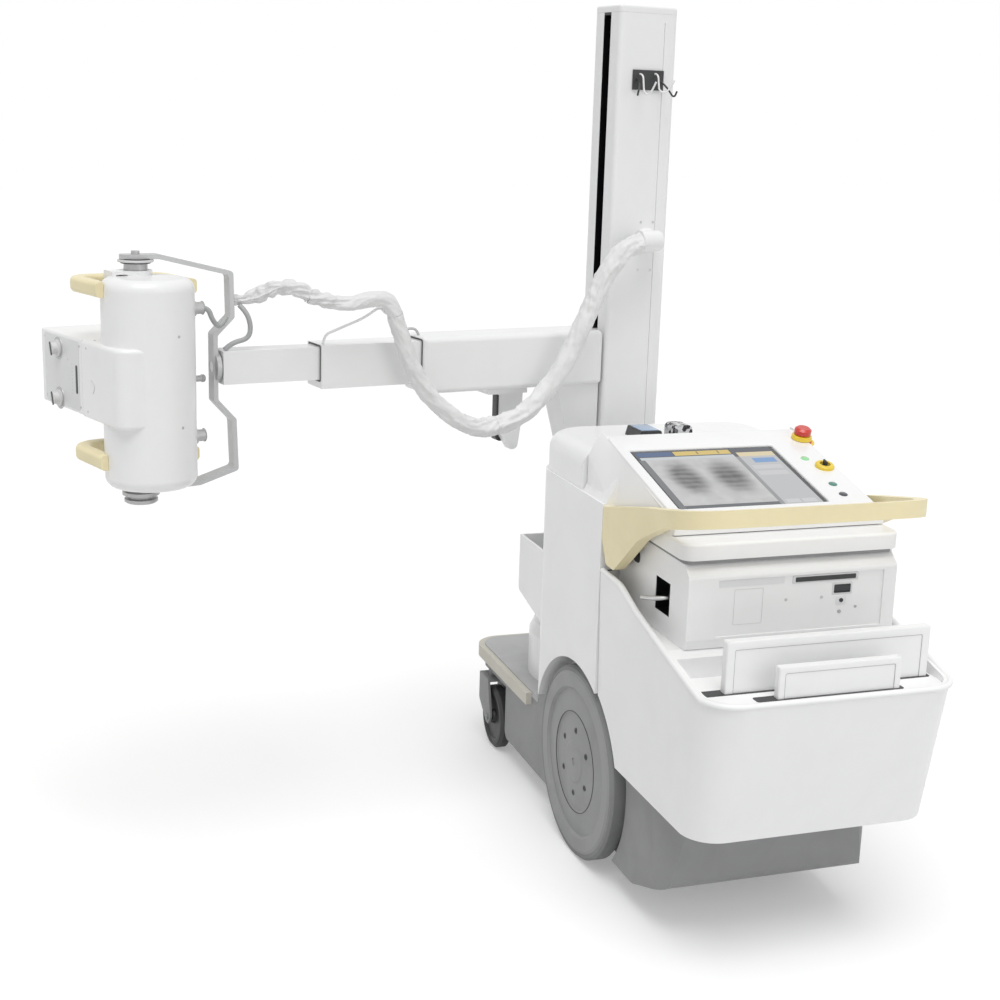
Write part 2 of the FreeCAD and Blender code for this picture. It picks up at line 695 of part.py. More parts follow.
yoke_back = -(d.pivot_reach - d.yoke_reach)
inner_end = d.pivot_reach - d.yoke_reach - d.yoke_thick / 2 - d.hub_thick
inner_arm = box("InnerSolid", -inner_end, Size(-560), -d.inner_deep / 2, d.inner_deep / 2,
                d.arm_axis - d.inner_tall / 2, d.arm_axis + d.inner_tall / 2)
room = box("InnerRoom", -inner_end + 12, Size(-555), -d.inner_deep / 2 + 6, d.inner_deep / 2 - 6,
           d.arm_axis - d.inner_tall / 2 + 6, d.arm_axis + d.inner_tall / 2 - 6)
stub = cylinder("InnerStub", Size(12), Size(18), -inner_end - 17, Size(0), d.arm_axis, "x")
part("arm_inner", join("ArmInner", cut("InnerHollow", inner_arm, room), stub))

# Parking bracket under the arm
under = mid - tall
pad = box("ParkPad", Size(-392), Size(-287), Size(-34), Size(34), under - 14, under - d.seat_gap)
tab = slab("ParkTab", [(Size(-352), under - 14), (Size(-352), Size(935)), (Size(-318), Size(880), 14),
                       (Size(-296), Size(880), 14), (Size(-285), Size(955)), (Size(-285), under - 14)],
           Size(-9), Size(9))
part("park_bracket", join("ParkBracket", pad, tab))
part("park_roller", cylinder("ParkRoller", Size(13), Size(26), Size(-334), Size(9.3), Size(912), "y"))

# Yoke: one bent flat bar, its hub, and the two pivots of the tube head
def thick_line(points, thick):
    """The outline of a bent bar of one thickness about a centre line."""
    left, right = [], []
    for i, (u, v) in enumerate(points):
        normals = []
        for a, b in ((i - 1, i), (i, i + 1)):
            if 0 <= a and b < len(points):
                du, dv = points[b][0] - points[a][0], points[b][1] - points[a][1]
                size = math.hypot(du, dv)
                normals.append((-dv / size, du / size))
        nu, nv = sum(n[0] for n in normals), sum(n[1] for n in normals)
        size = math.hypot(nu, nv)
        nu, nv = nu / size, nv / size
        shift = float(thick) / 2 / (nu * normals[0][0] + nv * normals[0][1])
        left.append((u + nu * shift, v + nv * shift))
        right.append((u - nu * shift, v - nv * shift))
    return left + right[::-1]


yoke_foot = d.head_mid - d.tube_half - 18
yoke_crest = d.head_mid + d.tube_half + 38
yoke_line = [(-d.pivot_reach - 34, yoke_crest), (-d.pivot_reach + 46, yoke_crest),
             (-d.pivot_reach + 204, yoke_crest - 38), (-d.pivot_reach + 206, Size(1228)),
             (yoke_back, Size(1190)), (yoke_back, Size(1045)), (-d.pivot_reach + 208, Size(1000)),
             (-d.pivot_reach + 212, yoke_foot + 30), (-d.pivot_reach + 128, yoke_foot + 4),
             (-d.pivot_reach + 43, yoke_foot), (-d.pivot_reach - 34, yoke_foot)]
yoke_bar = slab("YokeBar", thick_line(yoke_line, d.yoke_thick), -d.yoke_wide / 2, d.yoke_wide / 2)


def bend_edge(middle, edge):
    """Picks the yoke's bends: short edges across the bar, away from its two ends."""
    return (abs(edge.Length - d.yoke_wide) < 0.01 and abs(middle.y) < 0.01
            and middle.x > -d.pivot_reach + 20)


yoke_bar = soften("YokeBends", yoke_bar, 9, bend_edge)
yoke_bar = soften("YokeEnds", yoke_bar, d.yoke_wide / 2 - 1,
                  lambda m, e: m.x < -d.pivot_reach - 33 and abs(e.Length - d.yoke_thick) < 0.01)
hub = cylinder("YokeHub", Size(33), Size(10), yoke_back, Size(0), d.arm_axis, "x")
bore = cylinder("YokeBore", Size(12.05), Size(24), -inner_end - 24, Size(0), d.arm_axis, "x")
pin_top = cylinder("PinSeatTop", d.pin_radius + d.fit_gap, Size(30), -d.pivot_reach, Size(0),
                   yoke_crest - 15)
pin_low = cylinder("PinSeatLow", d.pin_radius + d.fit_gap, Size(30), -d.pivot_reach, Size(0),
                   yoke_foot - 15)
part("yoke", cut("Yoke", join("YokeSolid", yoke_bar, hub), bore, pin_top, pin_low))
top_face = d.head_mid + d.tube_half + 10
top_pin = cylinder("TopPin", d.pin_radius, Size(54), -d.pivot_reach, Size(0), top_face - 14)
top_washer = cylinder("TopWasher", Size(25), yoke_crest - 5 - top_face - d.seat_gap * 2, -d.pivot_reach,
                      Size(0),
                      top_face + d.seat_gap)
low_pin = cylinder("LowPin", d.pin_radius, Size(46), -d.pivot_reach, Size(0), yoke_foot - 10)
low_washer = cylinder("LowWasher", Size(28), Size(12.4), -d.pivot_reach, Size(0),
                      yoke_foot + 5 + d.seat_gap)
part("yoke_pins", group("YokePins", join("YokePinTop", top_pin, top_washer),
                        join("YokePinLow", low_pin, low_washer)))

# Cable hanger on the middle section
part("cable_hanger", arc_tube("CableHanger", [(-816, -30, 1161.5), (-812, -36, 1184), (-730, -64, 1222),
                                              (-694, -66, 1246), (-676, -62, 1230)], 3))

# The sleeved cable in four spans, each from one body to the next: radius, then points along the
# arm, across it and up
SPANS = [
    ("cable_upper", 24, [(18, -90.3, 1385), (18, -112, 1385), (-18, -126, 1386), (-66, -126, 1380),
                         (-131, -120, 1319), (-182, -116, 1206), (-236, -112, 1090), (-306, -104, 1004),
                         (-362, -98, 964), (-406, -96, 955)]),
    ("cable_loop", 22, [(-406, -96, 955), (-450, -94, 946), (-516, -94, 974), (-577, -95, 1031),
                        (-624, -95, 1103), (-655, -94, 1190), (-668, -93.5, 1228)]),
    ("cable_middle", 17, [(-668, -93.5, 1228), (-681, -93, 1266), (-722, -88, 1256), (-773, -80, 1240),
                          (-832, -70, 1256), (-862, -64, 1276)]),
    ("cable_end", 15, [(-862, -64, 1276), (-892, -58, 1296), (-934, -34, 1290), (-978, 0, 1262),
                       (-1016.7, 0, 1262)]),
]
for label, radius, points in SPANS:
    part(label, arc_tube(label.title().replace("_", ""), points, radius))

# Tube head
now[0] = HEAD
mid = d.head_mid
tube = cylinder("TubeSolid", d.tube_radius, d.tube_half * 2, Size(0), -d.tube_back, mid - d.tube_half)
tube = soften("TubeSoft", tube, 24, lambda m, e: abs(abs(m.z - mid) - d.tube_half) < 0.01 and e.Closed)
tall = d.port_tall / 2
port = plan("PortSolid", [(-d.port_half, d.port_front), (-d.port_half, d.port_back),
                          (Size(0), d.port_back - 20),
                          (d.port_half, Size(-40)), (d.port_half, d.port_front)], mid - tall, mid + tall)
port = soften("PortSoft", port, 34, lambda m,
              e: abs(m.y - d.port_back) < 0.01 and m.x < 0 and abs(m.z - mid) < 1)
port = soften("PortEdges", port, 9, lambda m, e: m.y < d.port_front - 1 and m.x < d.port_half - 1)
pin_holes = [cylinder("PinHoleTop", d.pin_radius + d.fit_gap, Size(60), Size(0), Size(0),
                      mid + d.tube_half - 8),
             cylinder("PinHoleLow", d.pin_radius + d.fit_gap, Size(60), Size(0), Size(0),
                      mid - d.tube_half - 20)]
boss_top = join("StopPlate", cylinder("BossTop", Size(34), Size(12), Size(0), Size(0),
                                      mid + d.tube_half - 2),
                box("StopArm", Size(-62), Size(0), Size(-22), Size(22), mid + d.tube_half + 3,
                    mid + d.tube_half + 10),
                box("StopLug", Size(-62), Size(-54), Size(-22), Size(22), mid + d.tube_half - 6,
                    mid + d.tube_half + 10))
neck_seat = cylinder("NeckSeat", d.neck_radius + d.fit_gap, Size(20), Size(0), d.port_front - 12, mid, "y")
part("tube_housing", cut("TubeHousing", join("TubeBody", tube, port, boss_top), neck_seat, *pin_holes))
side_half = d.port_half - 4
front = d.collimator_front
body = box("CollimatorSolid", -side_half, side_half, d.port_front + d.skin_gap, front, mid - tall + 2,
           mid + tall - 2)
body = soften("CollimatorSoft", body, 5, lambda m, e: abs(m.y - d.port_front - d.skin_gap) > 0.01)
window = box("CollimatorWindow", Size(-60), Size(60), front - 8, front + 5, mid - 60, mid + 60)
neck = cylinder("CollimatorNeck", d.neck_radius, Size(20), Size(0), d.port_front - 11, mid, "y")
part("collimator", cut("Collimator", join("CollimatorBody", body, neck), window))
knobs = []
for index, z in enumerate((-62, 48), start=1):
    knob = revolved("Knob%d" % index, [(Size(0), Size(0)), (Size(19), Size(0)), (Size(19), Size(5)),
                                       (Size(14), Size(7)), (Size(12), Size(18)), (Size(0), Size(18))],
                    -side_half - d.seat_gap, Size(188), mid + z, "-x")
    knobs.append(knob)
part("collimator_knobs", group("CollimatorKnobs", *knobs))
bows = []
for label, z in (("HandleTop", 1299), ("HandleLow", 936)):
    z = Size(z)
    ring = plan(label + "_out", [(Size(-114), Size(-60)), (Size(-114), Size(126), 62),
                                 (Size(114), Size(126), 62),
                                 (Size(114), Size(-60))], z - 16, z + 16)
    gap = plan(label + "_in", [(Size(-82), Size(-65)), (Size(-82), Size(92), 34), (Size(82), Size(92), 34),
                               (Size(82), Size(-65))], z - 20, z + 20)
    tube_cut = cylinder(label + "_seat", d.tube_radius + d.seat_gap, Size(60), Size(0), -d.tube_back,
                        z - 30)
    tail = box(label + "_tail", Size(-150), Size(150), Size(-130), -d.tube_back, z - 30, z + 30)
    bows.append(soften(label + "_soft", cut(label + "_bow", ring, gap, tube_cut, tail), 9,
                       lambda m, e: abs(abs(m.z - z) - 16) < 0.01 and m.y > 0 and e.Length > 20))
part("head_handles", group("HeadHandles", *bows))
glands = []
for index, z in enumerate((1252, 975), start=1):
    gland = revolved("Gland%d" % index, [(Size(0), Size(0)), (Size(18), Size(0)), (Size(18), Size(8)),
                                         (Size(13), Size(10)), (Size(13), Size(26)), (Size(15), Size(28)),
                                         (Size(0), Size(32))],
                     d.tube_radius + d.seat_gap, -d.tube_back, Size(z), "x")
    glands.append(gland)
part("cable_glands", group("CableGlands", *glands))

# Rear bin, its insert and the two detector panels
now[0] = FLOOR


def rounded_section(name, x, y0, y1, radius, z):
    """A level outline, square at the front and round at the rear corners."""
    x, y0, y1, r, z = (float(v) for v in (x, y0, y1, radius, z))
    k = r * math.sqrt(0.5)
    points = [V(-x, y0, z), V(-x, y1 + r, z), V(-x + r - k, y1 + r - k, z), V(-x + r, y1, z),
              V(x - r, y1, z), V(x - r + k, y1 + r - k, z), V(x, y1 + r, z), V(x, y0, z)]
    edges = [Part.LineSegment(points[0], points[1]), Part.Arc(points[1], points[2], points[3]),
             Part.LineSegment(points[3], points[4]), Part.Arc(points[4], points[5], points[6]),
             Part.LineSegment(points[6], points[7]), Part.LineSegment(points[7], points[0])]
    feature = doc.addObject("Part::Feature", name)
    feature.Shape = Part.Wire([edge.toShape() for edge in edges])
    return feature


def loft(name, *sections):
    solid = doc.addObject("Part::Loft", name)
    solid.Sections = list(sections)
    solid.Solid = True
    solid.Ruled = True
    return solid


seam = d.body_rear - d.skin_gap
tub = loft("TubLoft", rounded_section("TubLow", half - 10, seam, d.bin_rear + 82, 70,
                                      d.base_top + d.seat_gap),
           rounded_section("TubHigh", half, seam, d.bin_rear, 84, d.rim_front + 10))
rim = side("RimCut", [(seam + 5, d.rim_front), (Size(-224), d.rim_front - 4, 90),
                      (Size(-304), Size(690), 120),
                      (Size(-463), Size(649), 200), (Size(-620), d.rim_rear + 2, 160),
                      (d.bin_rear - 60, d.rim_rear),
                      (d.bin_rear - 60, Size(900)), (seam + 5, Size(900))], -half - 20, half + 20)
wall = d.bin_wall

def pocket_section(name, z, gap):
    """The pocket's level outline at a height, made smaller by a gap all round."""
    low, high = float(d.bin_floor) + 20, float(d.rim_front) + 20
    share = (float(z) - low) / (high - low)
    return rounded_section(name, half - wall - 16 * (1 - share) - gap, Size(-492) - gap,
                           d.bin_rear + wall + 70 * (1 - share) + gap, 50 + 22 * share - gap, z)


pocket = loft("PocketLoft", pocket_section("PocketLow", d.bin_floor + 20, 0),
              pocket_section("PocketHigh", d.rim_front + 20, 0))
shelf = box("ShelfCut", -half + wall, half - wall, Size(-493), seam + 10, d.unit_floor, d.rim_front + 40)
ledge = box("LedgeCut", -half, half, d.bin_rear, Size(-606), Size(200), d.bin_floor + 130)
pocket = cut("PocketRoom", pocket, ledge)
part("rear_bin", cut("RearBin", tub, rim, pocket, shelf, *wheel_arches("BinArch_")))
insert_top = d.rim_rear - 10
insert = loft("InsertLoft", pocket_section("InsertLow", insert_top - 16, 0.5),
              pocket_section("InsertHigh", insert_top, 0.5))
large = (Size(-203), Size(246), Size(-590), Size(-573))
small = (Size(-115), Size(153), Size(-640), Size(-626))
slots = [box("Slot%d" % i, x0 - 24, x1 + 6, y0 - 4, y1 + 4, Size(500), Size(700))
         for i, (x0, x1, y0, y1) in enumerate((large, small), start=1)]
part("bin_insert", cut("BinInsert", insert, *slots))
for label, (x0, x1, y0, y1), z0, z1 in (("detector_large", large, d.bin_floor + 20 + d.seat_gap, Size(706)),
                                        ("detector_small", small, d.bin_floor + 130 + d.seat_gap,
                                         Size(665))):
    panel = box(label + "_solid", x0, x1, y0, y1, z0, z1)
    part(label, soften(label, panel, 4, lambda m, e: e.Length < 30))

# Drawer unit, lid, console and handle
unit_low = d.unit_floor + d.seat_gap
unit = side("UnitSide", [(seam - 2, unit_low), (d.unit_rear + 6, unit_low), (d.unit_rear, unit_low + 20),
                         (d.unit_rear, d.unit_top - 22, 10), (d.unit_rear + 26, d.unit_top),
                         (seam - 2, d.unit_top)],
            -d.unit_half, d.unit_half)
riser = box("UnitRiser", -d.unit_half + 30, d.unit_half - 30, d.unit_rear + 40, seam - 2, d.unit_top,
            d.lid_top - d.lid_thick - d.seat_gap)
recess = box("UnitRecess", Size(-170), Size(205), d.unit_rear - 5, d.unit_rear + 3, unit_low + 24,
             d.unit_top - 30)
latch_hole = box("LatchHole", -d.unit_half - 5, -d.unit_half + 30, Size(-388), Size(-318), Size(694),
                 Size(764))
part("drawer_unit", cut("DrawerUnit", join("UnitSolid", unit, riser), recess, latch_hole))
part("latch_lever", arc_tube("LatchLever", [(-205.3, -350, 722), (-226, -346, 722), (-246, -330, 718),
                                            (-256, -300, 712)], 5, False))
lid = plan("LidPlan", [(-d.lid_half, seam - 2), (-d.lid_half, d.lid_rear, 26), (d.lid_half, d.lid_rear, 26),
                       (d.lid_half, seam - 2)], d.lid_top - d.lid_thick, d.lid_top)
part("lid", soften("Lid", lid, 6, flat_edges(d.lid_top)))
con = d.console_half
slope = (d.console_top - d.console_low) / (d.console_back - d.console_front)
console_seat = d.body_top + d.seat_gap
top_side = side("ConsoleSide", [(Size(12), console_seat), (Size(12), d.console_top, 8),
                                (d.console_back, d.console_top), (d.console_front, d.console_low, 9),
                                (d.console_front, console_seat)], -con - 40, con + 40)
top_front = slab("ConsoleFront", [(-con - 2, d.body_top), (con + 2, d.body_top),
                                  (con - 4, d.console_top + 10),
                                  (-con + 4, d.console_top + 10)], d.console_front - 5, Size(30))
console = common("ConsoleCommon", top_side, top_front)
flanks = [slab("Flank_" + name, [(sign * (con - 10), console_seat), (sign * (half - 8), console_seat),
                                 (sign * (con - 6), d.console_top - 40)], d.body_rear, Size(12))
          for name, sign in (("left", -1), ("right", 1))]
part("console", join("Console", console, *flanks))


def on_console(across_x, back, high):
    """A place on the sloped console top: back is measured down the slope from its upper edge."""
    tilt = math.atan(slope)
    y = float(d.console_back) - back * math.cos(tilt)
    z = float(d.console_top) - back * math.sin(tilt)
    return across_x, y + high * -math.sin(tilt), z + high * math.cos(tilt)


tilt_turn = Turn(X_AXIS, math.degrees(math.atan(slope)))


def console_box(name, x0, x1, back0, back1, low, high):
    solid = doc.addObject("Part::Box", name)
    bind(solid, "Length", Size(0) + x1 - x0)
    bind(solid, "Width", Size(0) + back1 - back0)
    bind(solid, "Height", Size(0) + high - low)
    x, y, z = on_console(float(x0), float(back1), float(low))
    solid.Placement = FreeCAD.Placement(V(x, y, z), tilt_turn)
    return solid


shift = d.screen_shift
part("screen", console_box("Screen", shift - d.screen_wide / 2, shift + d.screen_wide / 2,
                           Size(88), d.screen_deep + 88, d.seat_gap, Size(3)))


def console_button(label, across_x, back, profile):
    x, y, z = on_console(across_x, back, float(d.seat_gap))
    sketch = outline(label + "Sketch", "xz", [(Size(r), Size(h)) for r, h in profile])
    solid = doc.addObject("Part::Revolution", label + "Turn")
    solid.Source = sketch
    solid.Axis = Z_AXIS
    solid.Base = V()
    solid.Angle = 360
    solid.Solid = True
    solid.Placement = FreeCAD.Placement(V(x, y, z), tilt_turn)
    part(label, solid)


console_button("key_ring", 204, 206, [(12, 0), (21, 0), (21, 12), (18, 15), (12, 15)])
console_button("stop_button", 222, 62, [(0, 0), (24, 0), (24, 5), (20, 8), (11, 8), (11, 18), (19, 20),
                                        (19, 30), (14, 34), (0, 34)])
remote = slab("Remote", [(Size(-108), d.cap_top + d.seat_gap), (Size(-46), d.cap_top + d.seat_gap),
                         (Size(-52), d.cap_top + 22, 4), (Size(-102), d.cap_top + 22, 4)], Size(90),
                         Size(170))
part("remote", remote)
clip = slab("Clip", [(Size(-24), d.cap_top + d.seat_gap), (Size(24), d.cap_top + d.seat_gap),
                     (Size(24), d.cap_top + 34, 12), (Size(-24), d.cap_top + 34, 12)], Size(86), Size(136))
part("clear_holder", clip)

bow_side = side("BowSide", [(d.body_rear - 0.5, Size(862)), (d.body_rear - 0.5, Size(792)),
                            (Size(-150), Size(742), 10),
                            (Size(-192), Size(740), 14), (Size(-312), Size(838), 160),
                            (Size(-420), Size(890), 200),
                            (Size(-562), Size(922)), (Size(-562), Size(957)), (Size(-316), Size(908), 300)],
                -half, half)
thick = d.handle_thick
bow_out = plan("BowOut", [(-half + 1, d.body_rear - 0.5), (-half + 1, Size(-560), 96),
                          (half - 1, Size(-560), 96),
                          (half - 1, d.body_rear - 0.5)], Size(700), Size(1000))
bow_in = plan("BowIn", [(-half + 1 + thick, d.body_rear + 20), (-half + 1 + thick, thick - 560, 72),
                        (half - 1 - thick, thick - 560, 72), (half - 1 - thick, d.body_rear + 20)],
              Size(690), Size(1010))
part("handle", common("Handle", bow_side, cut("BowRing", bow_out, bow_in)))

# Hand switch in its holder at the right
part("switch_holder", box("SwitchHolder", d.unit_half + d.seat_gap, d.unit_half + 22, Size(-430),
                          Size(-390),
                          Size(730), Size(748)))
part("hand_switch", cylinder("HandSwitch", Size(11), Size(80), d.unit_half + 12, Size(-410), Size(748.3)))

# Checks before anything is written
doc.recompute()
bad = [thing.Name for thing in doc.Objects if "Invalid" in thing.State or "Error" in thing.State]
for thing in PARTS:
    if thing.Shape.isNull() or not thing.Shape.isValid() or thing.Shape.Volume < 1:
        bad.append(thing.Label)
if bad:
    raise RuntimeError("failed: " + ", ".join(bad))
os.makedirs("parts", exist_ok=True)
total = 0.0
for thing in PARTS:
    shape = thing.Shape
    total += shape.Volume
    print("%-20s solids %d  volume %.0f cm3" % (thing.Label, len(shape.Solids), shape.Volume / 1000))
    shape.exportStep("parts/%s.step" % thing.Label)
print("%d parts, %.3f m3" % (len(PARTS), total / 1e9))
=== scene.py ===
# %% [markdown]
# # A mobile x-ray machine, dressed for its picture
# The frame holds every rigid piece of the machine at its real size and place. This lesson gives
# those pieces their finishes, sews the fabric sleeve that hides the cables, and adds the small
# things that a maker fits last: screws, a screen picture, scales, buttons and seams. Nothing in
# the frame is moved. All lengths are metres; X is the machine's right, Y its front and Z is up.

# %% Load the frame
import json
import math

import bpy
import numpy as np
from mathutils import Matrix, Vector, noise


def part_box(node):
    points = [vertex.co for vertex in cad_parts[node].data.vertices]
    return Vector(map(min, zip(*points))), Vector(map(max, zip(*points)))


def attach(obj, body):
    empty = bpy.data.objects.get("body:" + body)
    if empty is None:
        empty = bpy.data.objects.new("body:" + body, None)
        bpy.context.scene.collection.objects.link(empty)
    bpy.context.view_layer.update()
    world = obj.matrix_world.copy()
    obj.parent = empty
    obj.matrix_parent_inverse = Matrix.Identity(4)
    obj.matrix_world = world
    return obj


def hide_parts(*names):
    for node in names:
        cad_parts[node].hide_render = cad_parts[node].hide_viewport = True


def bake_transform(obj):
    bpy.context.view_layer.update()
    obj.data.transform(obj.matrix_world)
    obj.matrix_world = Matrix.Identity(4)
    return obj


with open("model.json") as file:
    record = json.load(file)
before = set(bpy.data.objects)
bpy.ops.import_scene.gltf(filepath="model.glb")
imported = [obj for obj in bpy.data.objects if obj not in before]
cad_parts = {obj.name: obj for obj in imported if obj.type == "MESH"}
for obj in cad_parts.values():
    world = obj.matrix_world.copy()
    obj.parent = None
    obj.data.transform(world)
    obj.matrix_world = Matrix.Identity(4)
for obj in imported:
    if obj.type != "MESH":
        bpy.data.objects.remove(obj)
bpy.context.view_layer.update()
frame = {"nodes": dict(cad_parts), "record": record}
NODES = frame["nodes"]
MM = 0.001

# %% [markdown]
# ## Camera
# The picture was taken from behind and to the left of the machine, at about head height, with a
# lens a little longer than normal. The place and the three turns of the camera are written here
# as plain numbers, and its axes are worked out from them, so the picture can be checked at once.

# %% Set the camera
LENS_MM, SENSOR_MM = 56.96, 36.0
CAMERA_AT = Vector((-1.5532, -3.1669, 1.6668))
CAMERA_YAW, CAMERA_DOWN, CAMERA_ROLL = (math.radians(a) for a in (18.737, 13.690, 1.715))

forward = Vector((math.sin(CAMERA_YAW) * math.cos(CAMERA_DOWN),
                  math.cos(CAMERA_YAW) * math.cos(CAMERA_DOWN), -math.sin(CAMERA_DOWN)))
level = Vector((math.cos(CAMERA_YAW), -math.sin(CAMERA_YAW), 0))
upward = level.cross(forward)
right = level * math.cos(CAMERA_ROLL) + upward * math.sin(CAMERA_ROLL)
upward = upward * math.cos(CAMERA_ROLL) - level * math.sin(CAMERA_ROLL)
camera_data = bpy.data.cameras.new("camera")
camera_data.lens, camera_data.sensor_width = LENS_MM, SENSOR_MM
camera_data.shift_x, camera_data.shift_y = 0.0044, 0.0025
camera = bpy.data.objects.new("camera", camera_data)
camera.matrix_world = Matrix([
    [right[i], upward[i], -forward[i], CAMERA_AT[i]] for i in range(3)] + [[0, 0, 0, 1]])
bpy.context.scene.collection.objects.link(camera)
bpy.context.scene.camera = camera
print("the camera is", round((CAMERA_AT - Vector((0, 0, 0.9))).length, 2), "m from the machine")

# %% [markdown]
# ## Places on the column, the arm and the tube head
# The arm is turned a little back from square, and the head is turned on its pivot. Each has a
# drawing frame of its own, and a place in it is given as "along, across, up" in millimetres.

# %% Turned places
MAST_Y, ARM_TURN = 0.469, math.radians(10.1)
HEAD_TURN, PIVOT_REACH = math.radians(19), 1.228


def turned(origin, angle, x, y, z):
    """A point given in millimetres in a frame that is turned about Z."""
    c, s = math.cos(angle), math.sin(angle)
    return Vector((origin[0] + (x * c - y * s) * MM, origin[1] + (x * s + y * c) * MM, z * MM))


HEAD_AT = turned((0, MAST_Y), ARM_TURN, -PIVOT_REACH / MM, 0, 0)
# where each drawing frame stands on the floor, and how far it is turned
FRAMES = {"floor": ((0, 0), 0.0), "mast": ((0, MAST_Y), ARM_TURN),
          "head": ((HEAD_AT.x, HEAD_AT.y), HEAD_TURN)}
FOCAL_PIXELS, CENTRE_PIXEL = 1582.2, (495.6, 502.5)


def spot(where, x, y, z):
    """A point given in millimetres in one of the three frames."""
    return turned(*FRAMES[where], x, y, z)


def heading(where, x, y, z):
    """A direction given in one of the three frames."""
    angle = FRAMES[where][1]
    c, s = math.cos(angle), math.sin(angle)
    return Vector((x * c - y * s, x * s + y * c, z))


def facing(origin, out, up=(0, 0, 1)):
    """A matrix whose Z axis looks out of a face and whose Y axis points up on it."""
    out, up = Vector(out).normalized(), Vector(up)
    up = (up - out * up.dot(out)).normalized()
    across = up.cross(out)
    matrix = Matrix((across, up, out)).transposed().to_4x4()
    matrix.translation = Vector(origin)
    return matrix


def seat(where, place, out, up=(0, 0, 1)):
    """A matrix on a face: its place and the way it looks are given in one of the three frames."""
    return facing(spot(where, *place), heading(where, *out), up)


def lying(x, y, z):
    """A matrix on a level face, in metres."""
    return facing((x, y, z), (0, 0, 1), (0, 1, 0))


def seen_at(node, x, y):
    """The place on a node that the picture shows at a pixel, and the way its surface faces there."""
    ray = (right * ((x - CENTRE_PIXEL[0]) / FOCAL_PIXELS)
           - upward * ((y - CENTRE_PIXEL[1]) / FOCAL_PIXELS) + forward).normalized()
    hit, place, normal, _ = NODES[node].ray_cast(CAMERA_AT, ray)
    if not hit:
        raise RuntimeError("%s isn't seen at %d, %d" % (node, x, y))
    return place, normal


print("the head turns about", [round(v, 3) for v in HEAD_AT[:2]])

# %% Pieces, meshes and curves
def add_piece(name, mesh, material=None):
    """An object at the origin for a finished mesh."""
    piece = bpy.data.objects.new(name, mesh)
    bpy.context.scene.collection.objects.link(piece)
    if material:
        mesh.materials.clear()
        mesh.materials.append(material)
    return piece


def new_mesh(name, vertices, faces, sharp=None):
    """A smooth mesh, with crisp edges where its faces turn by more than sharp degrees."""
    mesh = bpy.data.meshes.new(name)
    mesh.from_pydata(vertices, [], faces)
    mesh.shade_smooth()
    if sharp:
        mesh.set_sharp_from_angle(angle=math.radians(sharp))
    return mesh


def take_mesh(thing):
    """The mesh of a scene object as it is after its modifiers or bevel; the object goes."""
    bpy.context.view_layer.update()
    mesh = bpy.data.meshes.new_from_object(
        thing.evaluated_get(bpy.context.evaluated_depsgraph_get()))
    name = thing.name
    bpy.data.objects.remove(thing)
    mesh.name = name
    return mesh


def curve_mesh(name, points, resolution, bevel=0.0):
    """The mesh of a smooth NURBS line with the given control points, round if it has a bevel."""
    data = bpy.data.curves.new(name, "CURVE")
    data.dimensions, data.resolution_u = "3D", resolution
    data.bevel_depth, data.bevel_resolution, data.use_fill_caps = bevel, ROD_SIDES, bevel > 0
    spline = data.splines.new("NURBS")
    spline.points.add(len(points) - 1)
    for point, place in zip(spline.points, points):
        point.co = (*place, 1)
    spline.order_u, spline.use_endpoint_u = 3, True
    return take_mesh(add_piece(name, data))


ROD_SIDES = 6
print("the helpers are ready")

# %% [markdown]
# ## The cable sleeve's route
# The high voltage cables run in one soft white sleeve from the column to the yoke. It is made as
# four spans, each between two bodies. A NURBS line runs smoothly among the points of each span.

# %% Route points of the four spans
# name: diameter at each end, the bodies it joins, the node it stands for, then points along
# the arm, across it and up
SPANS = {
    "sleeve_upper": ((45, 43), "column", "carriage", "cable_upper", [
        (-30, -112, 1387), (-52, -118, 1385), (-84, -124, 1370), (-131, -120, 1319),
        (-182, -116, 1206), (-236, -112, 1090), (-306, -104, 1006), (-362, -98, 970), (-406, -96, 962)]),
    "sleeve_loop": ((43, 36), "carriage", "arm_middle", "cable_loop", [
        (-406, -96, 962), (-450, -94, 954), (-516, -94, 984), (-577, -95, 1036), (-624, -95, 1103),
        (-655, -94, 1190), (-668, -93.5, 1228)]),
    "sleeve_middle": ((36, 30), "arm_middle", "arm_inner", "cable_middle", [
        (-668, -93.5, 1228), (-681, -93, 1266), (-722, -88, 1268), (-773, -80, 1255),
        (-832, -70, 1264), (-862, -64, 1276)]),
    "sleeve_end": ((30, 29.4), "arm_inner", "yoke", "cable_end", [
        (-862, -64, 1276), (-892, -58, 1296), (-934, -34, 1290), (-978, 0, 1262), (-1016.7, 0, 1262)]),
}


def route_line(name, points, step):
    """Evenly spaced points along a smooth line that has the given control points."""
    mesh = curve_mesh(name, points, 24)
    line = np.array([v.co for v in mesh.vertices], float)
    bpy.data.meshes.remove(mesh)
    along = np.concatenate([[0], np.cumsum(np.linalg.norm(np.diff(line, axis=0), axis=1))])
    at = np.linspace(0, along[-1], max(2, round(along[-1] / step)) + 1)
    return np.stack([np.interp(at, along, line[:, i]) for i in range(3)], axis=1), along[-1]


routes = {}
for name, (*_, points) in SPANS.items():
    routes[name] = route_line(name, [spot("mast", *p) for p in points], 3 * MM)
    print(name, "is", round(routes[name][1], 3), "m long")

# %% [markdown]
# ## Sewing the sleeve
# A plain tube would look like a hose. The real sleeve is thin coated cloth round a bundle of
# cables: it is smooth where it hangs straight, it folds where it is pushed together, and it is
# pinched by ties. Each ring of the tube gets its radius from a few such effects, all functions
# of the distance along the whole sleeve, so that the spans meet without a step.

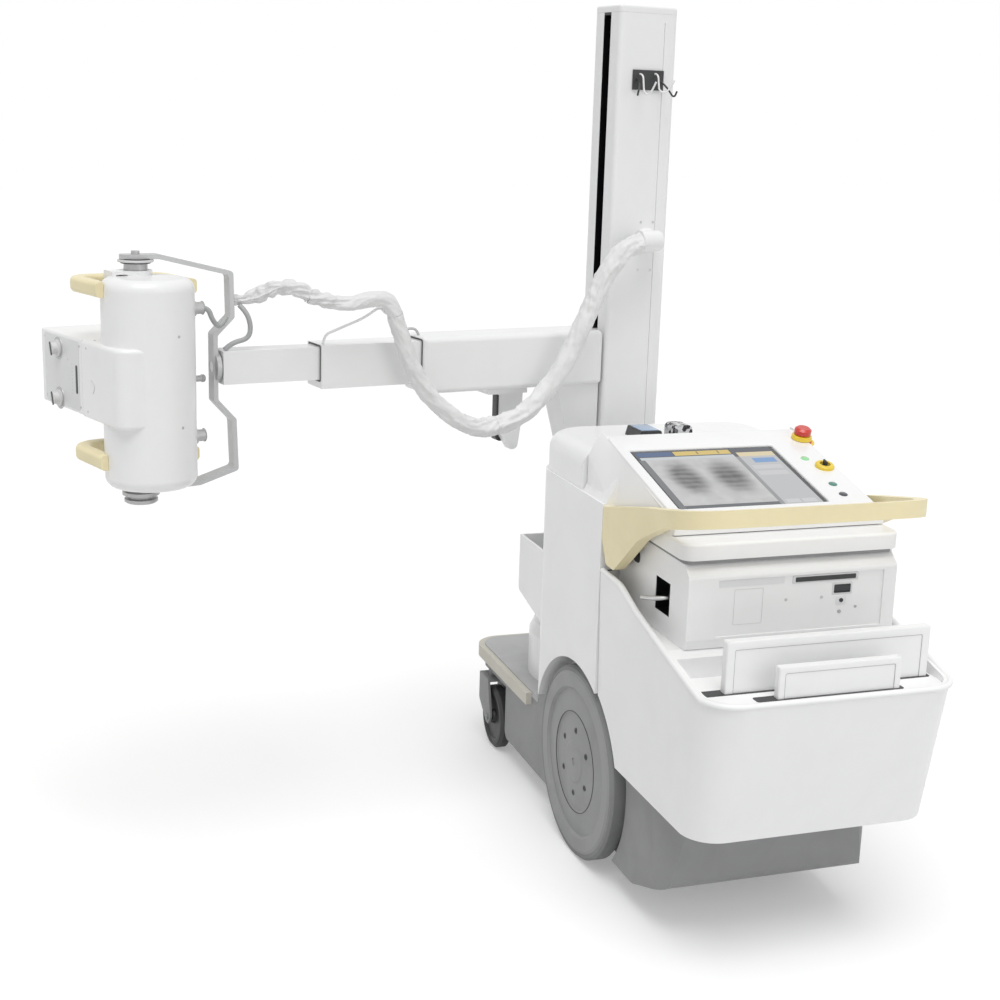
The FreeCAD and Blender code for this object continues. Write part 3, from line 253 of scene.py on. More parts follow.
# %% Folds of the sleeve
# metres along the whole sleeve, and how deep the folds are there
FOLDS = [(0.00, 0.34), (0.08, 0.26), (0.20, 0.15), (0.42, 0.14), (0.55, 0.24), (0.66, 0.30),
         (0.76, 0.16), (0.88, 0.20), (1.02, 0.14), (1.14, 0.24), (1.20, 0.46), (1.45, 0.50),
         (1.60, 0.36)]
# ties and pinches: where, how narrow, how long
PINCHES = [(0.655, 0.05, 0.030), (1.165, 0.10, 0.012), (1.285, 0.10, 0.016), (1.375, 0.12, 0.014),
           (1.455, 0.16, 0.012)]
# where the slack sleeve is pushed into rings above the middle arm
GATHER_MIDDLE, GATHER_REACH, GATHER_PITCH = 1.31, 0.13, 0.031
RING_SIDES = 56
SWELL_IN, SWELL_OUT = -0.29, 0.24


def swell(at, angle):
    """How far the cloth stands off or in at a place, as a share of the radius."""
    depth = np.interp(at, *zip(*FOLDS))
    round_x, round_y = math.cos(angle), math.sin(angle)
    twist = angle + at * 9 + 1.5 * noise.noise(Vector((0.4, 0.9, at * 8)))
    around = Vector((math.cos(twist) * 1.5, math.sin(twist) * 1.5, at * 11))
    long_fold = 1 - 2.4 * abs(noise.noise(around))
    across = Vector((round_x * 1.2 + 3, round_y * 1.2, at * 38 + round_x * 0.9))
    slant = 1 - 2.2 * abs(noise.noise(across))
    rough = noise.noise(Vector((round_x * 1.3, round_y * 1.3, at * 24)))
    fine = noise.noise(Vector((round_x * 3.4, round_y * 3.4 + 7, at * 95)))
    share = depth * (0.62 * (long_fold - 0.5) + 0.50 * (slant - 0.5) + 0.45 * rough + 0.24 * fine)
    gather = math.exp(-((at - GATHER_MIDDLE) / GATHER_REACH) ** 4)
    share += 0.15 * gather * math.sin(at / GATHER_PITCH * 2 * math.pi + 2.2 * rough + 0.8 * round_x)
    for middle, narrow, reach in PINCHES:
        share -= narrow * math.exp(-((at - middle) / reach) ** 2)
    return max(SWELL_IN, min(SWELL_OUT, share))


def sleeve_mesh(name, line, start, diameters, side, flare=None, plain=False):
    """A closed tube along a line, with the folds of the sleeve; returns the mesh and its last side."""
    rings, vertices, faces = len(line), [], []
    limit = 0.63 * sum(diameters) / 2 + 1.2 * MM
    tangent = np.gradient(line, axis=0)
    tangent /= np.linalg.norm(tangent, axis=1)[:, None]
    steps = np.concatenate([[0], np.cumsum(np.linalg.norm(np.diff(line, axis=0), axis=1))])
    for i in range(rings):
        t = Vector(tangent[i])
        side = (side - t * side.dot(t)).normalized()
        other = t.cross(side)
        radius = np.interp(steps[i] / steps[-1], [0, 1], diameters) / 2
        for k in range(RING_SIDES):
            angle = 2 * math.pi * k / RING_SIDES
            out = radius * (1 if plain else 1 + swell(start + steps[i], angle))
            wide, tall = flare(steps[i], steps[-1]) if flare else (1.0, 1.0)
            stand_off = side * (math.cos(angle) * out * wide) + other * (math.sin(angle) * out * tall)
            if stand_off.length > limit:
                stand_off *= limit / stand_off.length
            vertices.append(Vector(line[i]) + stand_off)
    for i in range(rings - 1):
        for k in range(RING_SIDES):
            a, b = i * RING_SIDES + k, i * RING_SIDES + (k + 1) % RING_SIDES
            faces.append((a, b, b + RING_SIDES, a + RING_SIDES))
    faces.append(tuple(range(RING_SIDES))[::-1])
    faces.append(tuple((rings - 1) * RING_SIDES + k for k in range(RING_SIDES)))
    return new_mesh(name, vertices, faces), side


# %% [markdown]
# ## Shader groups
# Every finish on the machine is one of a few families, and each family shares an effect: the fine
# grain that a mould leaves, the slow drift of colour over a large panel, the long scratches of
# brushed metal, the soft crumple of coated cloth. Each effect is a node group with named inputs
# that puts out only values, and each material places the groups with its own numbers.

# %% A helper for node groups
def new_group(name, inputs, outputs):
    """A shader group with float inputs and outputs."""
    group = bpy.data.node_groups.new(name, "ShaderNodeTree")
    for title, value in inputs:
        group.interface.new_socket(title, in_out="INPUT", socket_type="NodeSocketFloat").default_value = value
    for title in outputs:
        group.interface.new_socket(title, in_out="OUTPUT", socket_type="NodeSocketFloat")
    return group


def add_node(tree, kind, settings=None, **links):
    """Adds a node; a link's value is a number, a vector or another node's output socket.

    A kind without its prefix is a shader node.
    """
    node = tree.nodes.new(kind if "Node" in kind else "ShaderNode" + kind)
    for key, value in (settings or {}).items():
        setattr(node, key, value)
    for key, value in links.items():
        numbered = key[0] == "i" and key[1:].isdigit()
        socket = node.inputs[int(key[1:]) if numbered else key.replace("_", " ")]
        if isinstance(value, bpy.types.NodeSocket):
            tree.links.new(value, socket)
        else:
            socket.default_value = value
    return node


def maths(tree, operation, a, b=0.0, clamp=False):
    return add_node(tree, "Math", {"operation": operation, "use_clamp": clamp},
                    i0=a, i1=b).outputs[0]


def own_place(tree):
    return add_node(tree, "TexCoord").outputs["Object"]


def painted(tree, under, over, mask):
    """One colour over another where the mask is 1; under is a colour or a node's output."""
    under = under if isinstance(under, bpy.types.NodeSocket) else (*under, 1.0)
    return add_node(tree, "Mix", {"data_type": "RGBA"}, Factor=mask, i6=under,
                    i7=(*over, 1.0)).outputs[2]


def feed(shader, title, value):
    """Links a node's output to the shader's input with that title."""
    value.id_data.links.new(value, shader.inputs[title])


def relief(tree, shader, strength, distance, height, **more):
    """Turns a height into a relief on the shader, distance metres deep."""
    bump = add_node(tree, "Bump", Strength=strength, Distance=distance, Height=height, **more)
    feed(shader, "Normal", bump.outputs[0])


# %% Group: the grain and the drift of a moulded skin
skin = new_group("Moulded skin", [("Grain per metre", 600.0), ("Drift per metre", 4.0),
                                  ("Speck per metre", 900.0)], ["Grain", "Drift", "Speck"])
inside = add_node(skin, "NodeGroupInput")
place = own_place(skin)
grain = add_node(skin, "TexNoise", Vector=place, Scale=inside.outputs[0], Detail=3.0,
                 Roughness=0.6)
drift = add_node(skin, "TexNoise", Vector=place, Scale=inside.outputs[1], Detail=4.0,
                 Roughness=0.55)
speck = add_node(skin, "TexVoronoi", Vector=place, Scale=inside.outputs[2])
dots = maths(skin, "LESS_THAN", speck.outputs["Distance"], 0.16)
add_node(skin, "NodeGroupOutput", i0=grain.outputs[0], i1=drift.outputs[0], i2=dots)
print("group", skin.name)

# %% Group: marks that hands and feet leave
handling = new_group("Handling", [("Smear per metre", 9.0), ("Scratch per metre", 40.0)],
                     ["Smear", "Scratch"])
inside = add_node(handling, "NodeGroupInput")
place = own_place(handling)
smear = add_node(handling, "TexNoise", Vector=place, Scale=inside.outputs[0], Detail=5.0,
                 Roughness=0.62, Distortion=0.7)
soft = add_node(handling, "MapRange", i0=smear.outputs[0], i1=0.42, i2=0.72, i3=0.0, i4=1.0)
wave = add_node(handling, "TexNoise", Vector=place, Scale=inside.outputs[1], Detail=2.0,
                Distortion=3.0)
from_half = maths(handling, "ABSOLUTE", maths(handling, "SUBTRACT", wave.outputs[0], 0.5))
scratch = maths(handling, "MULTIPLY", maths(handling, "LESS_THAN", from_half, 0.004), soft.outputs[0])
add_node(handling, "NodeGroupOutput", i0=soft.outputs[0], i1=scratch)
print("group", handling.name)

# %% Group: the fine lines of brushed or turned metal
brushed = new_group("Brushed", [("Lines per metre", 900.0), ("Stretch", 0.02)], ["Lines"])
inside = add_node(brushed, "NodeGroupInput")
place = own_place(brushed)
stretch = add_node(brushed, "CombineXYZ", X=1.0, Y=1.0, Z=inside.outputs[1])
long_way = add_node(brushed, "VectorMath", {"operation": "MULTIPLY"}, i0=place,
                    i1=stretch.outputs[0])
lines = add_node(brushed, "TexNoise", Vector=long_way.outputs[0], Scale=inside.outputs[0],
                 Detail=4.0, Roughness=0.7)
add_node(brushed, "NodeGroupOutput", i0=lines.outputs[0])
print("group", brushed.name)

# %% Group: the weave and the crumple of coated cloth
cloth = new_group("Coated cloth", [("Threads per metre", 1500.0), ("Crumple per metre", 60.0)],
                  ["Weave", "Crumple"])
inside = add_node(cloth, "NodeGroupInput")
place = own_place(cloth)
warp, weft = (add_node(cloth, "TexWave", {"bands_direction": way}, Vector=place,
                       Scale=inside.outputs[0], Distortion=1.0).outputs["Fac"]
              for way in ("Z", "DIAGONAL"))
weave = maths(cloth, "MULTIPLY", warp, weft)
fold = add_node(cloth, "TexNoise", {"noise_type": "RIDGED_MULTIFRACTAL"}, Vector=place,
                Scale=inside.outputs[1], Detail=4.0, Roughness=0.5)
add_node(cloth, "NodeGroupOutput", i0=weave, i1=fold.outputs[0])
print("group", cloth.name)

# %% [markdown]
# ## The finishes
# A material starts from a Principled shader. Its colour drifts by a percent or two over a panel,
# its roughness changes with the drift and with handling, and a Bump node turns the grain into
# relief that is a fraction of a millimetre deep.

# %% A moulded or painted finish
def group_node(tree, group, **inputs):
    node = tree.nodes.new("ShaderNodeGroup")
    node.node_tree = group
    for key, value in inputs.items():
        node.inputs[key.replace("_", " ")].default_value = value
    return node


def new_material(name, **inputs):
    """A material with its tree and its Principled shader, whose named inputs get plain values."""
    material = bpy.data.materials.new(name)
    material.use_nodes = True
    shader = material.node_tree.nodes["Principled BSDF"]
    for key, value in inputs.items():
        shader.inputs[key.replace("_", " ")].default_value = value
    return material, material.node_tree, shader


def tinted(tree, colour, share, mask):
    """The colour, made darker by a share where the mask is 1."""
    return painted(tree, colour, tuple(c * (1 - share) for c in colour), mask)


def box_mask(tree, axes, centre, half):
    """1 where every axis is within half of its centre, in millimetres, and 0 elsewhere."""
    mask = 1.0
    for axis, middle, reach in zip(axes, centre, half):
        near = maths(tree, "COMPARE", axis, middle * MM)
        near.node.inputs[2].default_value = reach * MM
        mask = near if isinstance(mask, float) else maths(tree, "MULTIPLY", mask, near)
    return mask


def zone_mask(tree, where, centre, half):
    """1 inside a box given in millimetres in one of the three frames, 0 outside it."""
    (x, y), angle = FRAMES[where]
    local = add_node(tree, "Mapping", {"vector_type": "TEXTURE"}, Vector=own_place(tree),
                     Location=(x, y, 0), Rotation=(0, 0, angle))
    return box_mask(tree, add_node(tree, "SeparateXYZ", Vector=local.outputs[0]).outputs,
                    centre, half)


def moulded(name, colour, rough=0.4, grain=700.0, depth=0.00004, drift=0.03, coat=0.0, smear=0.02,
            speck=0.0, metallic=0.0, zones=()):
    """Plastic or paint: grain is bumps per metre, depth their height in metres.

    Each zone is (frame, centre, half size, colour), a part of the surface in another colour, such as a dark
    joint line and the painted shade inside a slot.
    """
    material, tree, shader = new_material(name, Metallic=metallic, Coat_Weight=coat, Coat_Roughness=0.15)
    base = group_node(tree, skin, Grain_per_metre=grain)
    marks = group_node(tree, handling)
    drifted = maths(tree, "MULTIPLY", base.outputs["Drift"], drift)
    smeared = maths(tree, "MULTIPLY", marks.outputs["Smear"], smear)
    specks = maths(tree, "MULTIPLY", base.outputs["Speck"], speck)
    shade = maths(tree, "ADD", maths(tree, "ADD", drifted, smeared), specks, clamp=True)
    result = tinted(tree, colour, 1.0, shade)
    for where, centre, half, zone_colour in zones:
        result = painted(tree, result, zone_colour, zone_mask(tree, where, centre, half))
    feed(shader, "Base Color", result)
    wear = maths(tree, "MULTIPLY", marks.outputs["Smear"], 0.10)
    uneven = maths(tree, "ADD", maths(tree, "MULTIPLY", base.outputs["Drift"], 0.12), rough - 0.06)
    feed(shader, "Roughness", maths(tree, "ADD", uneven, wear))
    relief(tree, shader, 1.0, depth, base.outputs["Grain"])
    return material


# %% Metal, rubber, cloth and glass
def metal(name, colour, rough=0.3, depth=0.00003, scratch=0.2):
    material, tree, shader = new_material(name, Metallic=1.0)
    brush = group_node(tree, brushed)
    marks = group_node(tree, handling)
    feed(shader, "Base Color", tinted(tree, colour, 0.25, maths(tree, "MULTIPLY", brush.outputs[0], 0.6)))
    uneven = maths(tree, "MULTIPLY", brush.outputs[0], 0.2)
    worn = maths(tree, "MULTIPLY", marks.outputs["Scratch"], scratch)
    feed(shader, "Roughness", maths(tree, "ADD", maths(tree, "ADD", uneven, worn), rough - 0.1))
    relief(tree, shader, 0.6, depth, brush.outputs[0])
    return material


def fabric(name, colour, depth=0.0006):
    material, tree, shader = new_material(name, Roughness=0.55, Sheen_Weight=0.15)
    weave = group_node(tree, cloth)
    marks = group_node(tree, handling, Smear_per_metre=14.0)
    # the colour is darker along the crumple ridges, as painted shade in the creases, and darker where
    # handling smears it
    shade = maths(tree, "ADD", maths(tree, "MULTIPLY", weave.outputs["Crumple"], 0.02),
                  maths(tree, "MULTIPLY", marks.outputs["Smear"], 0.05))
    feed(shader, "Base Color", tinted(tree, colour, 1.0, shade))
    fine = add_node(tree, "Bump", Strength=0.5, Distance=0.0002, Height=weave.outputs["Weave"])
    relief(tree, shader, 0.5, depth, weave.outputs["Crumple"], Normal=fine.outputs[0])
    return material


def glass(name, colour, rough=0.05):
    material, tree, shader = new_material(name)
    marks = group_node(tree, handling, Smear_per_metre=18.0)
    feed(shader, "Base Color", tinted(tree, colour, 0.15, marks.outputs["Smear"]))
    feed(shader, "Roughness", maths(tree, "ADD", maths(tree, "MULTIPLY", marks.outputs["Smear"], 0.12),
                                    rough))
    return material


# %% One material for each of the machine's finishes
# name: colour, then what differs from the plain moulded finish
MOULDED = {
    "cover_white": ((0.90, 0.902, 0.904), dict(rough=0.34, coat=0.25, drift=0.02)),
    "arm_white": ((0.87, 0.872, 0.874), dict(rough=0.36, grain=900.0, depth=0.00003, coat=0.15)),
    "head_white": ((0.90, 0.902, 0.904), dict(rough=0.33, coat=0.2, drift=0.02)),
    "base_grey": ((0.30, 0.303, 0.305), dict(rough=0.52, grain=420.0, depth=0.00012, drift=0.08,
                                             smear=0.06, speck=0.10)),
    "wheel_grey": ((0.31, 0.313, 0.315), dict(rough=0.5, grain=500.0, depth=0.0001, drift=0.06,
                                              smear=0.06)),
    "tyre_rubber": ((0.26, 0.263, 0.265), dict(rough=0.72, grain=260.0, depth=0.0003, drift=0.12,
                                               smear=0.10)),
    "deck_grey": ((0.54, 0.542, 0.545), dict(rough=0.62, grain=240.0, depth=0.0004, drift=0.06,
                                             smear=0.10, speck=0.12)),
    "cream": ((0.90, 0.80, 0.50), dict(rough=0.42, grain=520.0, depth=0.00006, drift=0.04, smear=0.05,
                                       coat=0.1)),
    "strip_beige": ((0.66, 0.64, 0.56), dict(rough=0.6, grain=420.0, depth=0.0001, drift=0.05)),
    "yoke_grey": ((0.50, 0.502, 0.505), dict(rough=0.35, grain=900.0, depth=0.00003, metallic=0.5)),
    "dark_plastic": ((0.035, 0.036, 0.038), dict(rough=0.4, grain=700.0, drift=0.2)),
    "stop_red": ((0.62, 0.035, 0.02), dict(rough=0.32, coat=0.3)),
    "key_yellow": ((0.85, 0.62, 0.05), dict(rough=0.38, coat=0.2)),
    "pale_grey": ((0.70, 0.702, 0.705), dict(rough=0.45)),
}
FINISH = {name: moulded(name, colour, **look) for name, (colour, look) in MOULDED.items()}
FINISH["steel"] = metal("steel", (0.60, 0.60, 0.60))
FINISH["sleeve"] = fabric("sleeve", (0.80, 0.80, 0.80))
FINISH["screen_glass"] = glass("screen_glass", (0.02, 0.022, 0.026))
# a black that paints the shade inside slots and openings
OPENING_SHADE_BLACK = (0.004, 0.004, 0.005)


def ramp(tree, value, *stops):
    """A colour ramp between two stops, each a position and a colour."""
    node = add_node(tree, "ValToRGB", Fac=value)
    for element, (position, colour) in zip(node.color_ramp.elements, stops):
        element.position, element.color = position, colour
    return node.outputs[0]


def crystal(name):
    """Clear moulded plastic whose colour paints dark and bright glints in cells, as painted reflections of
    the light.
    """
    material, tree, shader = new_material(name, Roughness=0.12, Transmission_Weight=0.35)
    cells = add_node(tree, "TexVoronoi", Vector=own_place(tree), Scale=110.0)
    # the ramp paints the glints as dark and bright cells of colour
    shade = ramp(tree, cells.outputs["Color"], (0.30, (0.03, 0.03, 0.035, 1)), (0.48, (0.88, 0.89, 0.90, 1)))
    feed(shader, "Base Color", shade)
    relief(tree, shader, 0.8, 0.002, cells.outputs["Distance"])
    return material


white = MOULDED["cover_white"][0]
CASTER_RUBBER = moulded("caster_rubber", (0.05, 0.051, 0.053), rough=0.55, grain=300.0, depth=0.0002,
                        drift=0.2, smear=0.10)
OWN_PAINT = {
    # the black zone paints the shade inside the column's slot
    "column": moulded("column_paint", (0.88, 0.882, 0.884), rough=0.36, grain=900.0, depth=0.00003, coat=0.15,
                      zones=[("mast", (-64.6, 0, 1290), (22.2, 15.2, 655), OPENING_SHADE_BLACK)]),
    "collimator": moulded("collimator_paint", white, rough=0.33, coat=0.2, drift=0.02, zones=[
        ("head", (0, 60.5, 1100), (200, 2.2, 200), (0.02, 0.02, 0.022))]),
    # the black zone paints the shade inside an opening of the drawer unit
    "drawer_unit": moulded("unit_paint", white, rough=0.36, coat=0.2, drift=0.02, zones=[
        ("floor", (-207, -353, 729), (25.5, 35.6, 35.6), OPENING_SHADE_BLACK)]),
    "clear_holder": crystal("crystal"),
    "storage_box": FINISH["cover_white"],
    "bin_insert": moulded("insert_white", (0.92, 0.922, 0.924), rough=0.5),
    "caster_tyre_left": CASTER_RUBBER,
    "caster_tyre_right": CASTER_RUBBER,
    "caster_hub_left": FINISH["dark_plastic"],
    "caster_hub_right": FINISH["dark_plastic"],
}
node_slots = {entry["node"]: entry["material_slot"] for entry in frame["record"]["subparts"]}
for name, node in NODES.items():
    node.data.materials.clear()
    node.data.materials.append(OWN_PAINT.get(name, FINISH[node_slots[name]]))
print(len(FINISH), "finishes on", len(NODES), "nodes")

# %% Make the sleeve's spans
start, side = 0.0, Vector((0, 0, 1))
FAN_LONG, FAN_THIN, FAN_WIDE = 0.06, 0.30, 0.24


def fan(at, whole):
    """Where the sleeve meets the yoke it is pleated flat against the bar."""
    share = max(0.0, (at - whole + FAN_LONG) / FAN_LONG)
    return 1 - FAN_THIN * share, 1 + FAN_WIDE * share


for name, (diameters, first, last, node, _) in SPANS.items():
    line, length = routes[name]
    wide_here = tuple(v * MM for v in diameters)
    mesh, side = sleeve_mesh(name, line, start, wide_here, side, fan if name == "sleeve_end" else None)
    start += length
    span = add_piece(name, mesh, FINISH["sleeve"])
    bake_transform(span)
    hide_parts(node)
print("the sleeve is", round(start, 2), "m long in all")

# %% [markdown]
# ## Shaping small pieces
# The small pieces come from three tools. A lathe turns a profile round an axis, a plate is an
# outline pushed out of a face, with a softened edge and maybe a hole, and a rod follows a line.
# Each leaves its place in its mesh, so that the object stays at the origin.

# %% Three shaping tools
SHARP = 32  # degrees between faces from which an edge stays crisp


def finish_piece(name, mesh, matrix, finish, body="chassis"):
    """A piece that rides a body; its finish is a slot's name or a material of its own."""
    mesh.transform(matrix)
    mesh.update()
    piece = add_piece(name, mesh, FINISH[finish] if isinstance(finish, str) else finish)
    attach(piece, body)
    return piece


def lathe(name, profile, matrix, finish, body="chassis", sides=48):
    """A turned piece along the matrix's Z: profile is (radius, height) in millimetres, bottom to top.

    A profile that doesn't start on the axis is closed into a ring.
    """
    vertices, faces, rings = [], [], []
    for radius, height in profile:
        if radius == 0:
            rings.append([len(vertices)] * sides)
            vertices.append((0, 0, height * MM))
        else:
            rings.append(list(range(len(vertices), len(vertices) + sides)))
            vertices += [(radius * MM * math.cos(2 * math.pi * k / sides),
                          radius * MM * math.sin(2 * math.pi * k / sides), height * MM) for k in range(sides)]
    pairs = list(zip(rings, rings[1:]))
    if profile[0][0] > 0:
        pairs.append((rings[-1], rings[0]))
    for low, high in pairs:
        for k in range(sides):
            face = list(dict.fromkeys([low[k], low[(k + 1) % sides], high[(k + 1) % sides], high[k]]))
            if len(face) > 2:
                faces.append(face)
    return finish_piece(name, new_mesh(name, vertices, faces, SHARP), matrix, finish, body)


def rounded(wide, tall, radius, steps=8):
    """Corners of a rounded rectangle about the origin, in millimetres, anticlockwise."""
    points = []
    for corner, (sx, sy) in enumerate(((1, 1), (-1, 1), (-1, -1), (1, -1))):
        for k in range(steps + 1):
            angle = math.pi / 2 * (corner + k / steps)
            points.append((sx * (wide / 2 - radius) + radius * math.cos(angle),
                           sy * (tall / 2 - radius) + radius * math.sin(angle)))
    return points


def plate(name, outline, thick, matrix, finish, body="chassis", soft=0.0, hole=None):
    """An outline in millimetres pushed out by thick, with its outer edge softened and maybe a hole."""
    steps = [(0.0, 0.0)] + ([(0.0, thick)] if soft == 0 else [
        (soft * (1 - math.cos(a)), thick - soft + soft * math.sin(a))
        for a in np.linspace(0, math.pi / 2, 5)])
    count, vertices, faces = len(outline), [], []

    def inset(points, by):
        result = []
        for i, (x, y) in enumerate(points):
            (x0, y0), (x1, y1) = points[i - 1], points[(i + 1) % len(points)]
            nx, ny = y1 - y0, -(x1 - x0)
            size = math.hypot(nx, ny) or 1
            result.append((x - nx / size * by, y - ny / size * by))
        return result

    def walls(points, sign):
        first = len(vertices)
        for by, height in steps:
            for x, y in inset(points, by * sign):
                vertices.append((x * MM, y * MM, height * MM))
        n = len(points)
        for r in range(len(steps) - 1):
            for k in range(n):
                a, b = first + r * n + k, first + r * n + (k + 1) % n
                faces.append((a, b, b + n, a + n)[::sign])
        return first, first + (len(steps) - 1) * n

    low, high = walls(outline, 1)
    if hole is None:
        faces.append([low + k for k in range(count)][::-1])
        faces.append([high + k for k in range(count)])
    else:
        low_in, high_in = walls(hole, -1)
        for k in range(count):
            j = (k + 1) % count
            faces.append((high + k, high + j, high_in + j, high_in + k))
            faces.append((low + j, low + k, low_in + k, low_in + j))
    return finish_piece(name, new_mesh(name, vertices, faces, SHARP), matrix, finish, body)


def rod(name, places, radius, finish, body="chassis"):
    """A round bar along a smooth line through places, in metres; its radius is in millimetres."""
    mesh = curve_mesh(name, places, 10, radius * MM)
    mesh.shade_smooth()
    return finish_piece(name, mesh, Matrix(), finish, body)


print("three shaping tools are ready")

# %% [markdown]
# ## Screws by Geometry Nodes
# Screws repeat all over the machine. One tree sets a turned screw on every point of a small mesh
# of places: each point carries the way it looks, and a seeded random value turns the driver
# recess of each screw differently, as a fitter leaves them.

# %% The screw tree
def screw_tree():
    tree = bpy.data.node_groups.new("Set screws", "GeometryNodeTree")
    tree.is_modifier = True
    for title, kind, value in (("Places", "Geometry", None), ("Head radius", "Float", 0.003),
                               ("Head height", "Float", 0.0015), ("Seed", "Int", 7),
                               ("Finish", "Material", None)):
        socket = tree.interface.new_socket(title, in_out="INPUT", socket_type="NodeSocket" + kind)
        if value is not None:
            socket.default_value = value
    tree.interface.new_socket("Screws", in_out="OUTPUT", socket_type="NodeSocketGeometry")
    given = add_node(tree, "NodeGroupInput").outputs
    head = add_node(tree, "GeometryNodeMeshCylinder", Vertices=24, Radius=given["Head radius"],
                    Depth=given["Head height"])
    recess = add_node(tree, "GeometryNodeMeshCylinder", Vertices=6,
                      Radius=maths(tree, "MULTIPLY", given["Head radius"], 0.5),
                      Depth=given["Head height"])
    lift = add_node(tree, "CombineXYZ", Z=given["Head height"])
    part_way = add_node(tree, "VectorMath", {"operation": "SCALE"}, i0=lift.outputs[0], Scale=0.6)
    raised = add_node(tree, "GeometryNodeTransform", Geometry=recess.outputs["Mesh"],
                      Translation=part_way.outputs[0])
    screw = add_node(tree, "GeometryNodeMeshBoolean", {"operation": "DIFFERENCE"})
    tree.links.new(head.outputs["Mesh"], screw.inputs["Mesh 1"])
    tree.links.new(raised.outputs[0], screw.inputs["Mesh 2"])
    aim = add_node(tree, "GeometryNodeInputNamedAttribute", {"data_type": "FLOAT_VECTOR"}, Name="aim")
    turn = add_node(tree, "FunctionNodeAlignRotationToVector", {"axis": "Z"},
                    Vector=aim.outputs["Attribute"])
    spin = add_node(tree, "FunctionNodeRandomValue", {"data_type": "FLOAT"}, Seed=given["Seed"], i3=math.pi)
    about = add_node(tree, "CombineXYZ", Z=spin.outputs[1])
    twist = add_node(tree, "FunctionNodeEulerToRotation", i0=about.outputs[0])
    both = add_node(tree, "FunctionNodeRotateRotation", {"rotation_space": "LOCAL"}, i0=turn.outputs[0],
                    i1=twist.outputs[0])
    placed = add_node(tree, "GeometryNodeInstanceOnPoints", Points=given["Places"],
                      Instance=screw.outputs[0], Rotation=both.outputs[0])
    real = add_node(tree, "GeometryNodeRealizeInstances", Geometry=placed.outputs[0])
    coloured = add_node(tree, "GeometryNodeSetMaterial", Geometry=real.outputs[0],
                        Material=given["Finish"])
    add_node(tree, "NodeGroupOutput", i0=coloured.outputs[0])
    return tree


SCREWS = screw_tree()
SCREW_INPUTS = {item.name: item.identifier for item in SCREWS.interface.items_tree
                if item.in_out == "INPUT"}


def set_screws(name, places, radius, height, finish, body="chassis", seed=7):
    """Screws at (place, way it looks) pairs, in metres; radius and height in millimetres."""
    mesh = bpy.data.meshes.new(name)
    mesh.from_pydata([p for p, _ in places], [], [])
    mesh.attributes.new("aim", "FLOAT_VECTOR", "POINT").data.foreach_set(
        "vector", [c for _, aim in places for c in Vector(aim).normalized()])
    holder = add_piece(name, mesh)
    modifier = holder.modifiers.new("Set screws", "NODES")
    modifier.node_group = SCREWS
    for title, value in (("Head radius", radius * MM), ("Head height", height * MM), ("Seed", seed),
                         ("Finish", FINISH[finish])):
        modifier[SCREW_INPUTS[title]] = value
    return finish_piece(name, take_mesh(holder), Matrix(), finish, body)


print("the screw tree has", len(SCREWS.nodes), "nodes")

# %% [markdown]
# ## The column
# Four screws hold the cable port's cover plate, and an elbow turns the sleeve towards the arm.
# The arm has a hook, a rubber pad and dark rings of painted shade at its sliding joints, and two wire hooks
# hang at the column's top.

# %% Column screws, elbow and arm hook
column_face = heading("mast", 0, -1, 0)
set_screws("column_screws", [(spot("mast", x, -56, z), column_face) for x, z in (
    (2, 1429), (37, 1429), (0, 1314), (36, 1313))], 3.4, 1.2, "steel", "column")
lathe("port_elbow", [(0, 0), (17, 0.6), (22, 3), (24.5, 7), (25, 12), (25, 50), (26.5, 52), (26.5, 60),
                     (25, 62), (0, 62)],
      seat("mast", (26, -108, 1388), (-1, -0.04, 0)), "arm_white", "column")
rod("arm_hook", [spot("mast", x, -6, z) for x, z in ((-566, 1166), (-570, 1182), (-590, 1187), (-606, 1182))],
    3.0, "yoke_grey", "carriage")
plate("park_pad", rounded(24, 66, 3), 5, seat("mast", (-352, 0, 984), (-1, 0, 0)), "dark_plastic", "carriage",
      soft=1.5)
# dark rings of painted shade where one arm section runs into the next: along, height, across, tall, body
for name, x, z, deep, tall, body in (("seal_outer", -576, 1111, 86, 98, "carriage"),
                                     ("seal_middle", -823, 1118, 62, 73, "arm_middle")):
    plate(name, rounded(deep + 10, tall + 10, 6), 1.0, seat("mast", (x, 0, z), (-1, 0, 0)), "dark_plastic",
          body, hole=rounded(deep + 3, tall + 3, 4))
for index, (px, py, drop, lean) in enumerate(((640, 74, 44, 10), (655, 74, 40, 16)), start=1):
    root, _ = seen_at("cable_hooks", px, py)
    # across, out and up from the root, in millimetres
    bends = [(0, -1, 0), (0, 14, 0), (0, 18, -0.6 * drop), (0, 22, -drop), (lean, 34, -drop - 4),
             (1.6 * lean, 46, 26 - drop)]
    rod("wire_hook_%d" % index, [root + heading("mast", across * MM, -far * MM, up * MM)
                                 for across, far, up in bends], 2.2, "arm_white", "column")
print("column and arm details are on")

# %% [markdown]
# ## The tube head
# A dark gasket closes the turning joint of the collimator. Its left side has two knobs with dark
# pointers, a dark display slot with a printed scale beside it, and small screws.

